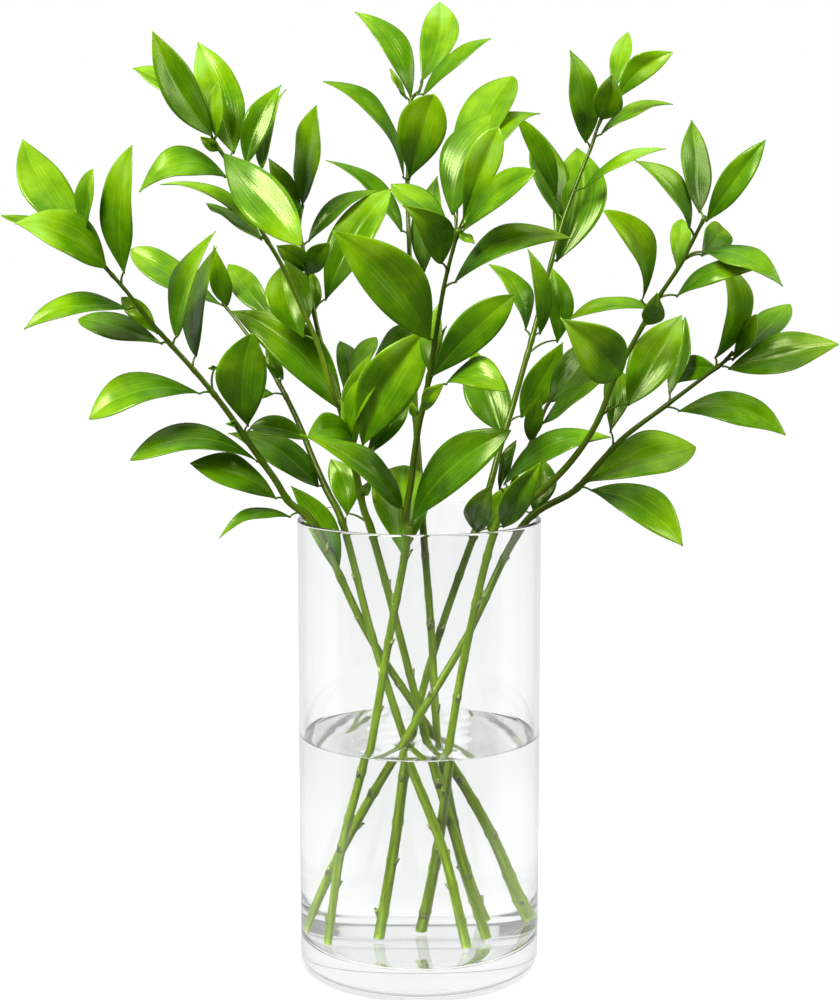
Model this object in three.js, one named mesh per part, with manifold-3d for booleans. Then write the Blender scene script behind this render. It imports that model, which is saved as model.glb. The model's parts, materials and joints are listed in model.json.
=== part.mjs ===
// A bunch of leafy ruscus stems in a clear glass cylinder vase with water, in millimetres, +Z up.
// The origin is the middle of the vase's underside.
import * as THREE from "three";
import { mergeVertices } from "three/addons/utils/BufferGeometryUtils.js";
import Module from "manifold-3d";

const wasm = await Module();
wasm.setup();

// Vase.
const VASE_RADIUS = 70;
const VASE_HEIGHT = 263;
const WALL = 3;
const LIP_ROUND = 1.2;
const BASE_THICKNESS = 16;
const FOOT_RADIUS = 64;
const FOOT_ROUND = VASE_RADIUS - FOOT_RADIUS;
const FLOOR_ROUND = 7;
const VASE_SIDES = 48;
const ARC_STEPS = 3;

// Water.
const WATER_LEVEL = 136.3;
const GAP = 0.3;

// Triangles thinner than this are dropped where pieces are joined or cut.
const SLIVER = 0.05;

// Stems.
const CUT_RADIUS = 2.6;
const FORK_RADIUS = 1.6;
const TIP_RADIUS = 0.9;
const STEM_SIDES = 6;
const STEM_STEP = 27;
const CUT_TILT = 0.6 * CUT_RADIUS;
const CUT_HEIGHT = BASE_THICKNESS + GAP + CUT_TILT;
const INSIDE_LEVELS = [CUT_HEIGHT, 78, WATER_LEVEL, 196, VASE_HEIGHT];

// Leaves.
const BLADE_THICKNESS = 0.7;
const RIB_THICKNESS = 1;
const BLADE_FOLD = 0.16;
const BLADE_BASE = 0.9;
const BLADE_TIP = 0.5;
const BLADE_STATIONS = [0, 0.17, 0.44, 0.74, 1];
const YOUNG_LENGTH = 32;
const YOUNG_STATIONS = [0, 0.38, 1];
const STALK_RADIUS = 0.7;
const STALK_SLOPE = 0.8;
const BASE_LEAN = 0.12;
const SAMPLES = 400;

// The stems and leaves are laid out in front elevation: x and z on the upright plane through the
// vase's axis, as seen from an eye in front of the vase. A depth then moves the point along its
// sight line: behind the plane if it is positive, in front if it is negative.
const EYE_DISTANCE = 1100;
const EYE_HEIGHT = 419.2;

// Each stem: where it passes the five levels inside the vase (x, y), from its cut end on the vase's
// floor up to the lip, then its route above the lip (elevation x, z, depth). A leaf is a row of
// base x, z, tip x, z (elevation), how far the tip leans back from the stem (forward if negative),
// width, the turn of its upper face from the front up towards the sky (degrees), its bow, where
// along its length it is widest, and its sideways sway.
const STEMS = [
  {
    inside: [[41.3, 25.7], [30, 8.5], [7.9, -9.8], [-29, -9], [-62.1, -9]],
    route: [
      [-74.5, 271.6, -10], [-82.5, 284.5, -14], [-89.5, 294.5, -17], [-96.5, 304.4, -21],
      [-110.5, 325.2, -29], [-124.5, 343.1, -36], [-138.5, 359, -41], [-152.4, 374.8, -47],
      [-165.4, 391.7, -53], [-177.4, 405.6, -59], [-181.4, 410.5, -60],
    ],
    leaves: [
      [-183, 418.6, -222.3, 476.9, 26, 27.1, 40, -0.2, 0.52, -6.4],
      [-176.5, 404.6, -227.8, 430.3, -19, 30.3, 45, 6.2, 0.5, 2.6],
      [-191.4, 420.8, -235.5, 434.8, 40, 22.3, 75, 0.7, 0.56, -0.1],
      [-189.1, 422, -183.4, 460.4, -16, 17.5, 50, 1, 0.57, 0.6],
      [-166.9, 401.8, -161.2, 473.6, -26, 25.2, 36, 4.3, 0.53, -0.8],
      [-164.5, 382.1, -224.3, 370.8, -21, 19.7, 55, 6.5, 0.48, 1.7],
      [-145.6, 362.3, -193.5, 376.4, 18, 19.8, 45, 2.3, 0.62, 0.4],
      [-148.3, 367.9, -168.9, 388.8, 6, 10.8, 10, 1, 0.57, 0.8],
      [-124.4, 334.1, -188.6, 319.5, -22, 25.7, 50, 8.3, 0.59, 3.9],
      [-91.8, 294.8, -165.6, 296, -26, 23.4, 55, 11.1, 0.61, 6.2],
      [-81.7, 273.4, -131.3, 294.2, -19, 22.3, 45, 5.2, 0.55, 1.5],
      [-73.7, 263, -115.3, 250.8, -16, 10.4, 55, 7.3, 0.47, 2.9],
      [-97.8, 314.9, -94.9, 368.5, -39, 28.1, 10, 4.1, 0.58, -3.3],
      [-138.1, 365.7, -115.1, 425.9, -22, 27.3, 55, 4, 0.39, -0.5],
      [-126.9, 354.9, -114.7, 416.9, 22, 30.5, 60, 5.9, 0.42, -1.2],
      [-96.7, 314.9, -62.5, 306.9, 7, 15.5, 45, 3.5, 0.39, -0.7],
      [-103.5, 315.5, -110.4, 316.7, -7, 3.3, 10, 1, 0.52, 0.7],
      [-114.5, 349.2, -120.2, 348.6, -2, 2.8, 25, 0.8, 0.5, -0.6],
      [-46.9, 229.2, -73.6, 281, 6, 15.7, 12, 1.5, 0.5, 4.9],
    ],
  },
  {
    inside: [[22.5, -20.6], [11, -24.6], [-7.4, -26.4], [-26.6, -15.2], [-45.6, 3.4]],
    route: [
      [-52.5, 277.6, 9], [-61.5, 298.4, 21], [-68.5, 316.3, 31], [-79.5, 339.1, 44],
      [-91.5, 359, 56], [-104.5, 376.8, 68], [-111.5, 385.7, 73],
    ],
    leaves: [
      [-110.6, 383.8, -162.7, 415.8, 22, 23.8, 45, 0.3, 0.64, -3],
      [-108.4, 384.3, -115.8, 418, -13, 12.8, 15, 1.7, 0.4, -2.1],
      [-84.6, 377, -108.1, 407.4, 38, 16.8, 10, 3, 0.49, -0.6],
      [-77.5, 342.1, -87.5, 359, 4, 8, 0, 1, 0.45, 0],
      [-83.4, 333.8, -99.9, 334.4, 3, 7.7, 30, 0.9, 0.45, -0.3],
      [-57.5, 280.4, -109.3, 311.5, 21, 23.2, 45, 6.1, 0.44, 2.9],
    ],
  },
  {
    inside: [[29.7, -2.9], [17.3, -12.8], [4.3, -22.7], [-10.2, -24.4], [-28.1, -25.2]],
    route: [
      [-31.6, 266.7, -25], [-36.5, 290.5, -22], [-40.5, 307.4, -19], [-46.5, 333.2, -12],
      [-55.5, 361.9, -4], [-60.5, 384.7, 3], [-65.5, 415.5, 12], [-67.5, 429.4, 16],
      [-65.5, 440.3, 20],
    ],
    leaves: [
      [-66.6, 433.1, -84.3, 466.4, -13, 16.4, 40, 0.8, 0.48, -1.6],
      [-66, 439.8, -57.7, 495.6, -21, 25.1, 50, 0.9, 0.53, 1.5],
      [-62.8, 419.7, -22.1, 448.7, 16, 13.5, 45, 6.2, 0.46, -2.1],
      [-63.5, 402.9, -80.3, 417.5, -30, 12.5, 10, 2.1, 0.58, 1.5],
      [-64, 401.8, -50.9, 419.2, -40, 13.1, 10, 2.1, 0.56, -0.3],
      [-59.1, 380.4, -61.2, 403.5, 5, 9.6, 30, 1, 0.51, 0.1],
      [-53.4, 386.6, -15.9, 449.3, 26, 26.3, 25, 4.8, 0.54, -1.6],
      [-32.7, 303.5, 4.4, 369.6, -27, 31.2, 0, 3.9, 0.57, -5.1],
      [-38.4, 308.6, -64.2, 309.2, -38, 19.7, 45, 5.7, 0.52, 2.1],
      [-43.5, 323.5, -106.7, 381, 26, 26.6, 10, 4.7, 0.49, 8.6],
      [-43.6, 307.5, -26.8, 357.7, 19, 12.2, 15, 3.5, 0.46, -1.9],
      [-41.2, 329.3, -45, 364, 40, 14.4, 10, 2.3, 0.55, 3.2],
      [-38.3, 333.3, -24.5, 366.2, 40, 11.8, 10, 2.5, 0.63, -2.4],
      [-39, 306.9, -20.1, 345.8, -21, 15.3, 40, 4.6, 0.57, -3.8],
      [-30.5, 297.7, -6.4, 331.5, 14, 13.3, 0, 2, 0.58, -0.7],
      [-36.5, 304.4, -44.5, 330.2, -6, 11, 40, 1, 0.45, 0],
      [-41.5, 263.6, -50.5, 296.6, 13, 17.5, 0, 1.7, 0.55, 3.9],
      [-32.6, 275.6, -27.6, 284.5, -14, 6, 10, 1, 0.45, 0],
    ],
    branch: {
      route: [
        [-45.5, 323.2, -27], [-49.5, 333.2, -28], [-57.5, 361.9, -29], [-67.5, 384.7, -32],
        [-78.5, 408.5, -33], [-88.5, 425.4, -35], [-105.4, 460.1, -39], [-112.4, 472, -40],
        [-116.4, 477.9, -40],
      ],
      leaves: [
        [-115.5, 478, -148.3, 536.1, -22, 21.8, 30, 0.9, 0.49, -4.1],
        [-118.3, 483, -159.6, 515.9, 18, 20.7, 55, 3.4, 0.64, 0.9],
        [-103.9, 468.7, -123.2, 530.1, 22, 25.6, 20, 3.4, 0.48, 1.5],
        [-113.9, 477.5, -112.3, 508.8, -5, 10.6, 30, 0.6, 0.51, 0.5],
        [-97.2, 462.6, -77.2, 506.6, 14, 15.2, 5, 2.5, 0.46, -2.9],
        [-88.3, 460.9, -74.4, 504.4, 40, 10.1, 30, 3.8, 0.33, -2.4],
        [-112.8, 470.3, -122.3, 478, -16, 6.1, 10, 1, 0.56, -0.3],
        [-108, 455.9, -157.6, 447.6, -18, 23.4, 41, 11.9, 0.47, 4.8],
        [-88.7, 422, -145.7, 452, 22, 12.7, 62, 7.1, 0.5, 3],
        [-88.7, 420.8, -120, 441.5, 40, 15.4, 65, 1.2, 0.5, -1.1],
        [-110.6, 469.8, -66.2, 417.5, -35, 26.2, 10, 2.9, 0.56, 0.4],
        [-65.4, 365.7, -77.6, 406.3, 19, 23.3, 10, 1.6, 0.58, -3.5],
        [-62.5, 376.8, -76.5, 410.5, 13, 14, 40, 2, 0.45, 0],
      ],
    },
  },
  {
    inside: [[-45.1, -18.8], [-39.2, -30.7], [-27.3, -42.5], [-17.4, -39.8], [-6.3, -34.9]],
    route: [
      [-7.6, 258.7, -34], [-4.6, 284.5, -45], [-0.6, 313.3, -61], [5.4, 342.1, -72],
      [10.4, 372.8, -81], [14.4, 396.6, -89], [20.4, 420.4, -97], [22.4, 427.4, -100],
    ],
    leaves: [
      [20.7, 440.4, 51.8, 511.5, 40, 30.3, 41, 4.7, 0.65, -0.9],
      [18.5, 434.8, 67.6, 491.2, 27, 31, 40, 12.3, 0.42, -9.3],
      [24.1, 430.9, 44.7, 483.5, -22, 17.3, 10, 3, 0.68, 0.2],
      [26.4, 429.2, 36.4, 464.8, 4, 8.7, 20, 1.4, 0.63, -1.1],
      [24.1, 425.3, 65.6, 459.2, -40, 18.5, 45, 3.1, 0.61, -1.1],
      [24.4, 427.4, 38.4, 442.3, 6, 7, 60, 1, 0.45, 0],
      [23, 425.9, 31.5, 419.2, -6, 7.5, 50, -0.6, 0.5, 1.1],
      [19.7, 396.7, 86.2, 422, -24, 19.5, 45, 9.4, 0.47, -5.5],
      [16.8, 429.2, -15.9, 452, 14, 19.5, 45, 1.4, 0.54, -1.5],
      [12.9, 407.4, -9.7, 440.4, -40, 17.6, 10, 3.3, 0.42, 5.8],
      [6.1, 364.5, -48.6, 425.9, -40, 30.2, 10, 4.7, 0.49, 4.9],
      [6.7, 343, 53.7, 390, -22, 20.8, 0, 2.9, 0.6, -1.9],
      [6.4, 343.1, 15.4, 372.8, 19, 10, 60, 1, 0.45, 0],
      [7.4, 345.1, 11.4, 385.7, 14, 16, 45, 2, 0.45, 0],
      [14.7, 339.5, 49.5, 335.5, -24, 21.1, 45, 6.5, 0.58, -2.8],
      [2.7, 324.1, 14.1, 340.1, -22, 8.4, 10, 1.2, 0.47, -1.8],
      [-4.7, 259.5, 52.4, 313.2, -26, 26.4, 30, 6.1, 0.57, -4.6],
      [-8.8, 239.1, -8.7, 293.1, 40, 34, 10, 3.6, 0.61, -2.4],
      [-9.9, 268.2, -68.2, 310.9, -24, 21.1, 50, 5.4, 0.34, 2.3],
    ],
  },
  {
    inside: [[22.9, 38.6], [15, 11.1], [10.3, -16], [7, -5.6], [1.7, 9.2]],
    route: [
      [1.4, 272.6, 12], [-1.6, 313.3, 25], [-3.6, 359, 37], [-5.6, 415.5, 53], [-6.6, 451.2, 64],
      [-5.6, 475.9, 70], [-4.6, 498.7, 76], [0.4, 503.7, 78], [1.4, 508.6, 80],
    ],
    leaves: [
      [-4.6, 499.5, -35.7, 546.6, 21, 17.9, 30, 6.3, 0.49, 5.4],
      [-6.8, 498.9, -16.3, 515.9, -5, 7, 55, -0.5, 0.51, -1],
      [1, 508.3, 11.5, 551.8, 40, 22.9, 10, 1.9, 0.55, 5.2],
      [1.6, 500.6, 40, 532.3, -18, 16.9, 55, 3.5, 0.48, -0.9],
      [-5.7, 454.3, 8.3, 501.7, -40, 28.6, 10, 4, 0.68, 0.2],
      [-8.5, 454.8, -53.7, 508.8, -26, 24.6, 65, 10.7, 0.57, 3.6],
      [-9.7, 425.3, -52.3, 465.3, 21, 15.1, 50, 6.4, 0.41, 3.6],
      [2.7, 402.9, 10, 456.5, 21, 21.5, 40, 2.1, 0.47, 1],
      [2.7, 371.3, -25.7, 354.3, 19, 18.3, 40, 2.8, 0.45, -0.3],
      [-1.6, 319.3, -5.6, 331.2, -3, 5, 0, 1, 0.45, 0],
    ],
  },
  {
    inside: [[-17.5, 0], [-10.5, -3.5], [-4, -5.8], [12.4, 4.7], [37.2, 18.1]],
    route: [
      [35.4, 261.7, 21], [41.4, 284.5, 27], [47.4, 307.4, 35], [53.4, 327.2, 41], [59.4, 349, 45],
      [64.4, 366.9, 49], [70.4, 390.7, 55], [76.4, 415.5, 59], [83.4, 438.3, 64],
      [90.3, 457.1, 68], [97.3, 475, 72], [99.3, 481.9, 73], [104.3, 493.8, 74],
    ],
    leaves: [
      [93.5, 474.7, 84, 525.7, -19, 22.1, 30, 4, 0.48, 1.3],
      [108.2, 502.8, 116.2, 535.5, 26, 12, 15, 1.1, 0.56, -0.4],
      [110.5, 498.9, 141.4, 524.6, -19, 15.3, 10, 2.7, 0.55, -3.9],
      [101.7, 487.4, 107.6, 512.6, -40, 17.5, 10, 1.8, 0.52, 2.1],
      [101.3, 479.1, 141.9, 496.2, 16, 15, 62, 4.9, 0.49, -0.4],
      [77.3, 408.5, 88.5, 472, 40, 32.2, 10, 3.2, 0.54, 8.5],
      [77, 443.1, 54.2, 489.6, -18, 12.5, 0, 3.3, 0.55, 4.3],
      [78.2, 434.2, 67.1, 481.3, 19, 31.7, 46, -1.1, 0.48, -1],
      [92.1, 449.3, 138.4, 471.7, -18, 12.9, 62, 4.6, 0.49, -0.8],
      [60.6, 369.6, 39.4, 407.4, 16, 19.8, 50, 6.7, 0.53, 3.6],
      [68.6, 367.4, 61.4, 415.8, -18, 13, 30, 4.8, 0.48, 2.7],
      [78.3, 362.8, 75.1, 405.2, 6, 15.4, 0, 1.2, 0.52, 3.3],
      [58.1, 320.1, 81.7, 363.4, -18, 18.9, 0, 3, 0.48, -0.1],
      [46.7, 312.7, 30.6, 360.6, 40, 27, 10, 2.6, 0.37, -2.1],
      [32.7, 254.3, 41.7, 281.5, -40, 16.2, 10, 2.1, 0.48, -2.7],
      [39.6, 254.9, 50.9, 281, -6, 13.2, 40, 1.4, 0.49, -0.5],
    ],
  },
  {
    inside: [[0.7, 19.6], [8.7, -12.2], [16, -42.8], [25.8, -46.2], [41.3, -47.1]],
    route: [
      [48.4, 265.7, -47], [57.4, 269.6, -50], [69.4, 277.6, -55], [86.4, 294.5, -65],
      [101.4, 317.3, -79], [111.4, 343.1, -86], [125.4, 369.9, -94], [136.3, 389.7, -100],
      [147.3, 406.6, -105], [157.3, 426.4, -110], [161.3, 434.3, -113],
    ],
    leaves: [
      [158.1, 435.9, 152.7, 487.4, 18, 20.7, 35, 1.3, 0.48, -1.8],
      [161.6, 430.9, 194.1, 476.4, -19, 14.8, 25, 2.8, 0.53, 0.6],
      [152.7, 427, 121.1, 465.3, -16, 22.4, 55, 4.2, 0.41, 1],
      [145.7, 405.2, 148, 432.6, 29, 10.9, 10, 2, 0.56, 0.2],
      [159.7, 411.9, 170.7, 428.7, 40, 15.7, 10, 2.1, 0.54, 0.8],
      [161.9, 414.1, 205.9, 395, -19, 18.3, 46, 6.5, 0.43, -1.3],
      [145.4, 388.8, 188.1, 404, -16, 13.8, 45, 4.9, 0.54, -3.3],
      [126.2, 386, 104, 437.6, -19, 18.1, 35, 8.7, 0.63, 6.2],
      [133.6, 382.1, 84.4, 375.9, 16, 13.1, 60, 4.8, 0.51, 0.5],
      [129.8, 373, 134.6, 391.1, -32, 11.5, 10, 1.1, 0.46, 1],
      [119.1, 327, 149, 378.7, 19, 24.3, 10, 3, 0.48, -0.8],
      [115.4, 345.2, 80.4, 377, -40, 27.4, 10, 3, 0.41, 0],
      [48.2, 256.6, 69.2, 294.2, -40, 15.8, 0, 1.8, 0.49, -1.5],
    ],
    branch: {
      route: [
        [48.4, 265.7, -47], [53.4, 281.6, -47], [60.4, 298.4, -44], [67.4, 313.3, -41],
        [72.4, 326.2, -37], [78.4, 336.1, -33],
      ],
      leaves: [
        [48.1, 281.5, 109.7, 309.2, -22, 18.9, 50, 8.2, 0.51, -4.7],
        [45.8, 278.7, 55.3, 307.5, 7, 9.3, 50, 1.6, 0.54, 0.4],
        [75.2, 329.3, 101.5, 365.7, 40, 23.8, 10, 2.9, 0.43, 1.2],
        [70.1, 316.7, 107.5, 344.1, -13, 15.3, 65, 1.8, 0.47, 0.1],
        [62.8, 307.5, 68.3, 333.8, -5, 10.4, 10, 1, 0.43, 0.3],
      ],
    },
  },
  {
    inside: [[-53.8, 0], [-34.9, -16.3], [-9.9, -31.9], [25.7, -23.6], [61.5, -12.3]],
    route: [
      [89.4, 278.6, -16], [103.4, 294.5, -21], [117.4, 309.3, -27], [139.4, 326.2, -33],
      [160.3, 342.1, -37], [174.3, 353, -41], [178.3, 358, -43],
    ],
    leaves: [
      [168.2, 353.8, 169.3, 411.9, -21, 30.8, 50, 8.7, 0.45, 3.2],
      [175.7, 348.1, 238.5, 362.3, -22, 27, 45, 1, 0.52, 1.2],
      [177.9, 352.6, 191, 379.3, -6, 9.7, 35, 0.3, 0.59, 1.5],
      [183.5, 357.7, 210.1, 384.9, 26, 18.1, 45, 1, 0.58, 1.3],
      [147.7, 324.1, 209.7, 310.4, -22, 23.9, 45, 7.6, 0.53, -4],
      [142.4, 333.3, 150.7, 377.6, 18, 15.2, 50, -0.8, 0.51, 3],
      [168.9, 348.6, 141.8, 335, 38, 15.4, 45, 5.3, 0.35, 4.2],
      [109.1, 311.5, 112.6, 348.6, 21, 15.7, 10, 1.9, 0.62, 1.6],
      [96.2, 283.3, 158.4, 303.5, 22, 32.1, 45, 3.4, 0.6, -0.5],
      [98, 278.7, 152, 246.1, -22, 28.6, 45, 6.7, 0.5, -3],
      [66, 264.2, 70.9, 296.6, 19, 17, 10, 1.9, 0.55, 1.4],
    ],
  },
];

// Colours.
const GLASS = new THREE.MeshStandardMaterial({
  color: 0xf2f7f5, roughness: 0.03, metalness: 0, transparent: true, opacity: 0.25,
});
const WATER = new THREE.MeshStandardMaterial({
  color: 0xe4f0ee, roughness: 0.02, metalness: 0, transparent: true, opacity: 0.35,
});
const LEAF = new THREE.MeshStandardMaterial({ color: 0x5f9b1c, roughness: 0.35, metalness: 0 });

// A point of the front elevation at a depth.
function place(x, z, depth) {
  const scale = (EYE_DISTANCE + depth) / EYE_DISTANCE;
  return new THREE.Vector3(x * scale, depth, EYE_HEIGHT + (z - EYE_HEIGHT) * scale);
}

// Where a point is seen in the front elevation.
function seen(point) {
  const scale = (EYE_DISTANCE + point.y) / EYE_DISTANCE;
  return new THREE.Vector2(point.x / scale, EYE_HEIGHT + (point.z - EYE_HEIGHT) / scale);
}

// A closed body lofted through rings of equal size, with a flat cap at both ends.
function loft(rings) {
  const sides = rings[0].length;
  const positions = rings.flat().flatMap((point) => point.toArray());
  const index = [];
  for (let ring = 0; ring < rings.length - 1; ring++) {
    for (let side = 0; side < sides; side++) {
      const here = ring * sides + side;
      const beside = ring * sides + ((side + 1) % sides);
      index.push(here, beside, here + sides);
      index.push(beside, beside + sides, here + sides);
    }
  }
  const last = (rings.length - 1) * sides;
  for (let side = 1; side < sides - 1; side++) {
    index.push(0, side + 1, side);
    index.push(last, last + side, last + side + 1);
  }
  return new wasm.Manifold(
    new wasm.Mesh({
      numProp: 3,
      vertProperties: new Float32Array(positions),
      triVerts: new Uint32Array(index),
    }),
  );
}

// A tapering round bar along a curve. Its rings keep their turn from one to the next.
function bar(curve, startRadius, endRadius, sides, step) {
  const length = curve.getLength();
  const steps = Math.max(1, Math.round(length / step));
  let across = null;
  const rings = [];
  for (let i = 0; i <= steps; i++) {
    const along = curve.getTangentAt(i / steps);
    const guide = across ?? new THREE.Vector3(1, 0, 0);
    across = guide.clone().addScaledVector(along, -guide.dot(along)).normalize();
    const up = new THREE.Vector3().crossVectors(along, across);
    const radius = THREE.MathUtils.lerp(startRadius, endRadius, i / steps);
    const centre = curve.getPointAt(i / steps);
    const ring = [];
    for (let side = 0; side < sides; side++) {
      const angle = (2 * Math.PI * side) / sides;
      ring.push(
        centre
          .clone()
          .addScaledVector(across, radius * Math.cos(angle))
          .addScaledVector(up, radius * Math.sin(angle)),
      );
    }
    rings.push(ring);
  }
  return loft(rings);
}

// The samples of a shoot's chords, from its root to its tip.
function chordSamples(curve) {
  const chords = new THREE.CurvePath();
  const ends = curve.getSpacedPoints(Math.max(1, Math.round(curve.getLength() / STEM_STEP)));
  for (let i = 1; i < ends.length; i++) {
    chords.add(new THREE.LineCurve3(ends[i - 1], ends[i]));
  }
  return chords.getSpacedPoints(SAMPLES);
}

// The number of the sample that is seen nearest to a point of the elevation.
function nearestSample(samples, x, z) {
  const target = new THREE.Vector2(x, z);
  const away = samples.map((point) => seen(point).distanceTo(target));
  const nearest = away.indexOf(Math.min(...away));
  return { nearest, distance: away[nearest] };
}

// Six points round a spot on a leaf's rib: the upper face from edge to edge, then the lower face.
function leafRing(rib, across, face, half, edge, thickness, ribThickness) {
  const point = (out, lift) => rib.clone().addScaledVector(across, out).addScaledVector(face, lift);
  return [
    point(-half, edge + thickness / 2),
    point(0, ribThickness / 2),
    point(half, edge + thickness / 2),
    point(half, edge - thickness / 2),
    point(0, -ribThickness / 2),
    point(-half, edge - thickness / 2),
  ];
}

// A leaf on its stalk, rooted in the shoot: an arched, slightly folded plate, widest just below
// its middle.
function leaf(samples, [baseX, baseZ, tipX, tipZ, lean, width, turn, bow, peak, sway]) {
  const { nearest, distance } = nearestSample(samples, baseX, baseZ);
  const spacing = samples[nearest].distanceTo(samples[nearest === 0 ? 1 : nearest - 1]);
  const root = samples[Math.max(1, nearest - Math.round((STALK_SLOPE * distance) / spacing))];
  const base = place(baseX, baseZ, root.y + BASE_LEAN * lean);
  const tip = place(tipX, tipZ, root.y + lean);

  const along = tip.clone().sub(base);
  const length = along.length();
  along.normalize();
  const front = new THREE.Vector3(0, -1, 0).addScaledVector(along, along.y).normalize();
  const side = new THREE.Vector3().crossVectors(along, front);
  if (side.z < 0) side.negate();
  const angle = THREE.MathUtils.degToRad(turn);
  const face = front.multiplyScalar(Math.cos(angle)).addScaledVector(side, Math.sin(angle));
  const across = new THREE.Vector3().crossVectors(along, face);

  const power = Math.log(0.5) / Math.log(peak);
  const stalk = base.clone().sub(root).normalize();
  const stalkAcross = across.clone().addScaledVector(stalk, -across.dot(stalk)).normalize();
  const stalkFace = new THREE.Vector3().crossVectors(stalkAcross, stalk);
  const thick = 2 * STALK_RADIUS;
  const rings = [leafRing(root, stalkAcross, stalkFace, STALK_RADIUS, 0, thick, thick)];
  for (const t of length < YOUNG_LENGTH ? YOUNG_STATIONS : BLADE_STATIONS) {
    const least = t < 0.5 ? BLADE_BASE : BLADE_TIP;
    const half = Math.max(least, (width / 2) * Math.sin(Math.PI * t ** power));
    const arch = bow * 4 * t * (1 - t);
    const rib = base.clone().addScaledVector(along, length * t).addScaledVector(face, arch);
    rib.addScaledVector(across, sway * 4 * t * (1 - t));
    rings.push(leafRing(rib, across, face, half, BLADE_FOLD * half, BLADE_THICKNESS, RIB_THICKNESS));
  }
  return loft(rings);
}

// The centreline of a stem from its cut end to its tip.
function stemCurve({ inside, route }) {
  return new THREE.CatmullRomCurve3([
    ...inside.map(([x, y], i) => new THREE.Vector3(x, y, INSIDE_LEVELS[i])),
    ...route.map((point) => place(...point)),
  ]);
}

function stemBar(curve, extra = 0) {
  return bar(curve, CUT_RADIUS + extra, TIP_RADIUS + extra, STEM_SIDES, STEM_STEP);
}

// A stem with its branch and leaves, as one solid.
function leafyStem(stem) {
  const curve = stemCurve(stem);
  const samples = chordSamples(curve);
  const pieces = [stemBar(curve), ...stem.leaves.map((row) => leaf(samples, row))];
  if (stem.branch) {
    const [fork, ...route] = stem.branch.route;
    const { nearest } = nearestSample(samples, fork[0], fork[1]);
    const points = [samples[nearest], ...route.map((point) => place(...point))];
    const branch = new THREE.CatmullRomCurve3(points);
    const branchSamples = chordSamples(branch);
    pieces.push(bar(branch, FORK_RADIUS, TIP_RADIUS, STEM_SIDES, STEM_STEP));
    pieces.push(...stem.branch.leaves.map((row) => leaf(branchSamples, row)));
  }
  return wasm.Manifold.union(pieces).asOriginal().simplify(SLIVER);
}

// Points of a quarter circle, from one angle to the other, in degrees.
function arc(centreX, centreZ, radius, from, to, steps) {
  const points = [];
  for (let i = 0; i <= steps; i++) {
    const angle = THREE.MathUtils.degToRad(THREE.MathUtils.lerp(from, to, i / steps));
    points.push(
      new THREE.Vector2(centreX + radius * Math.cos(angle), centreZ + radius * Math.sin(angle)),
    );
  }
  return points;
}

function lathe(profile) {
  const geometry = new THREE.LatheGeometry(profile, VASE_SIDES);
  geometry.rotateX(Math.PI / 2);
  return geometry;
}

// The vase: thick base, rounded lower edge, straight wall and rounded lip.
function vaseGeometry() {
  const inner = VASE_RADIUS - WALL;
  return lathe([
    new THREE.Vector2(0, 0),
    ...arc(FOOT_RADIUS, FOOT_ROUND, FOOT_ROUND, -90, 0, ARC_STEPS),
    ...arc(VASE_RADIUS - LIP_ROUND, VASE_HEIGHT - LIP_ROUND, LIP_ROUND, 0, 90, 2),
    ...arc(inner + LIP_ROUND, VASE_HEIGHT - LIP_ROUND, LIP_ROUND, 90, 180, 2),
    ...arc(inner - FLOOR_ROUND, BASE_THICKNESS + FLOOR_ROUND, FLOOR_ROUND, 0, -90, ARC_STEPS),
    new THREE.Vector2(0, BASE_THICKNESS),
  ]);
}

// A closed three.js geometry as a solid.
function solidOf(geometry) {
  const bare = geometry.clone();
  bare.deleteAttribute("normal");
  bare.deleteAttribute("uv");
  const merged = mergeVertices(bare, 1e-3);
  return new wasm.Manifold(
    new wasm.Mesh({
      numProp: 3,
      vertProperties: merged.attributes.position.array,
      triVerts: new Uint32Array(merged.index.array),
    }),
  );
}

function geometryOf(solid) {
  const mesh = solid.getMesh();
  const geometry = new THREE.BufferGeometry();
  geometry.setAttribute("position", new THREE.BufferAttribute(new Float32Array(mesh.vertProperties), 3));
  geometry.setIndex(new THREE.BufferAttribute(new Uint32Array(mesh.triVerts), 1));
  geometry.computeVertexNormals();
  return geometry;
}

// The water, clear of the glass and with a hole for each stem.
function waterSolid() {
  const radius = VASE_RADIUS - WALL - GAP;
  const bottom = BASE_THICKNESS + GAP;
  const body = lathe([
    new THREE.Vector2(0, bottom),
    ...arc(radius - FLOOR_ROUND, bottom + FLOOR_ROUND, FLOOR_ROUND, -90, 0, ARC_STEPS),
    new THREE.Vector2(radius, WATER_LEVEL),
    new THREE.Vector2(0, WATER_LEVEL),
  ]);
  const holes = STEMS.map((stem) => stemBar(stemCurve(stem), 1.3 * GAP));
  return solidOf(body).subtract(wasm.Manifold.union(holes)).asOriginal().simplify(SLIVER);
}

const bunch = new THREE.Group();

function addPiece(name, geometry, material) {
  const mesh = new THREE.Mesh(geometry, material);
  mesh.name = name;
  bunch.add(mesh);
}

addPiece("vase", vaseGeometry(), GLASS);
addPiece("water", geometryOf(waterSolid()), WATER);
STEMS.forEach((stem, i) => {
  addPiece(`ruscus_stem_${i + 1}`, geometryOf(leafyStem(stem)), LEAF);
});

export default bunch;
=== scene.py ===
"""A bunch of leafy ruscus stems in a clear glass cylinder vase with water."""
import json
import math
import random

import bmesh
import bpy
from mathutils import Matrix, Vector

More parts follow.
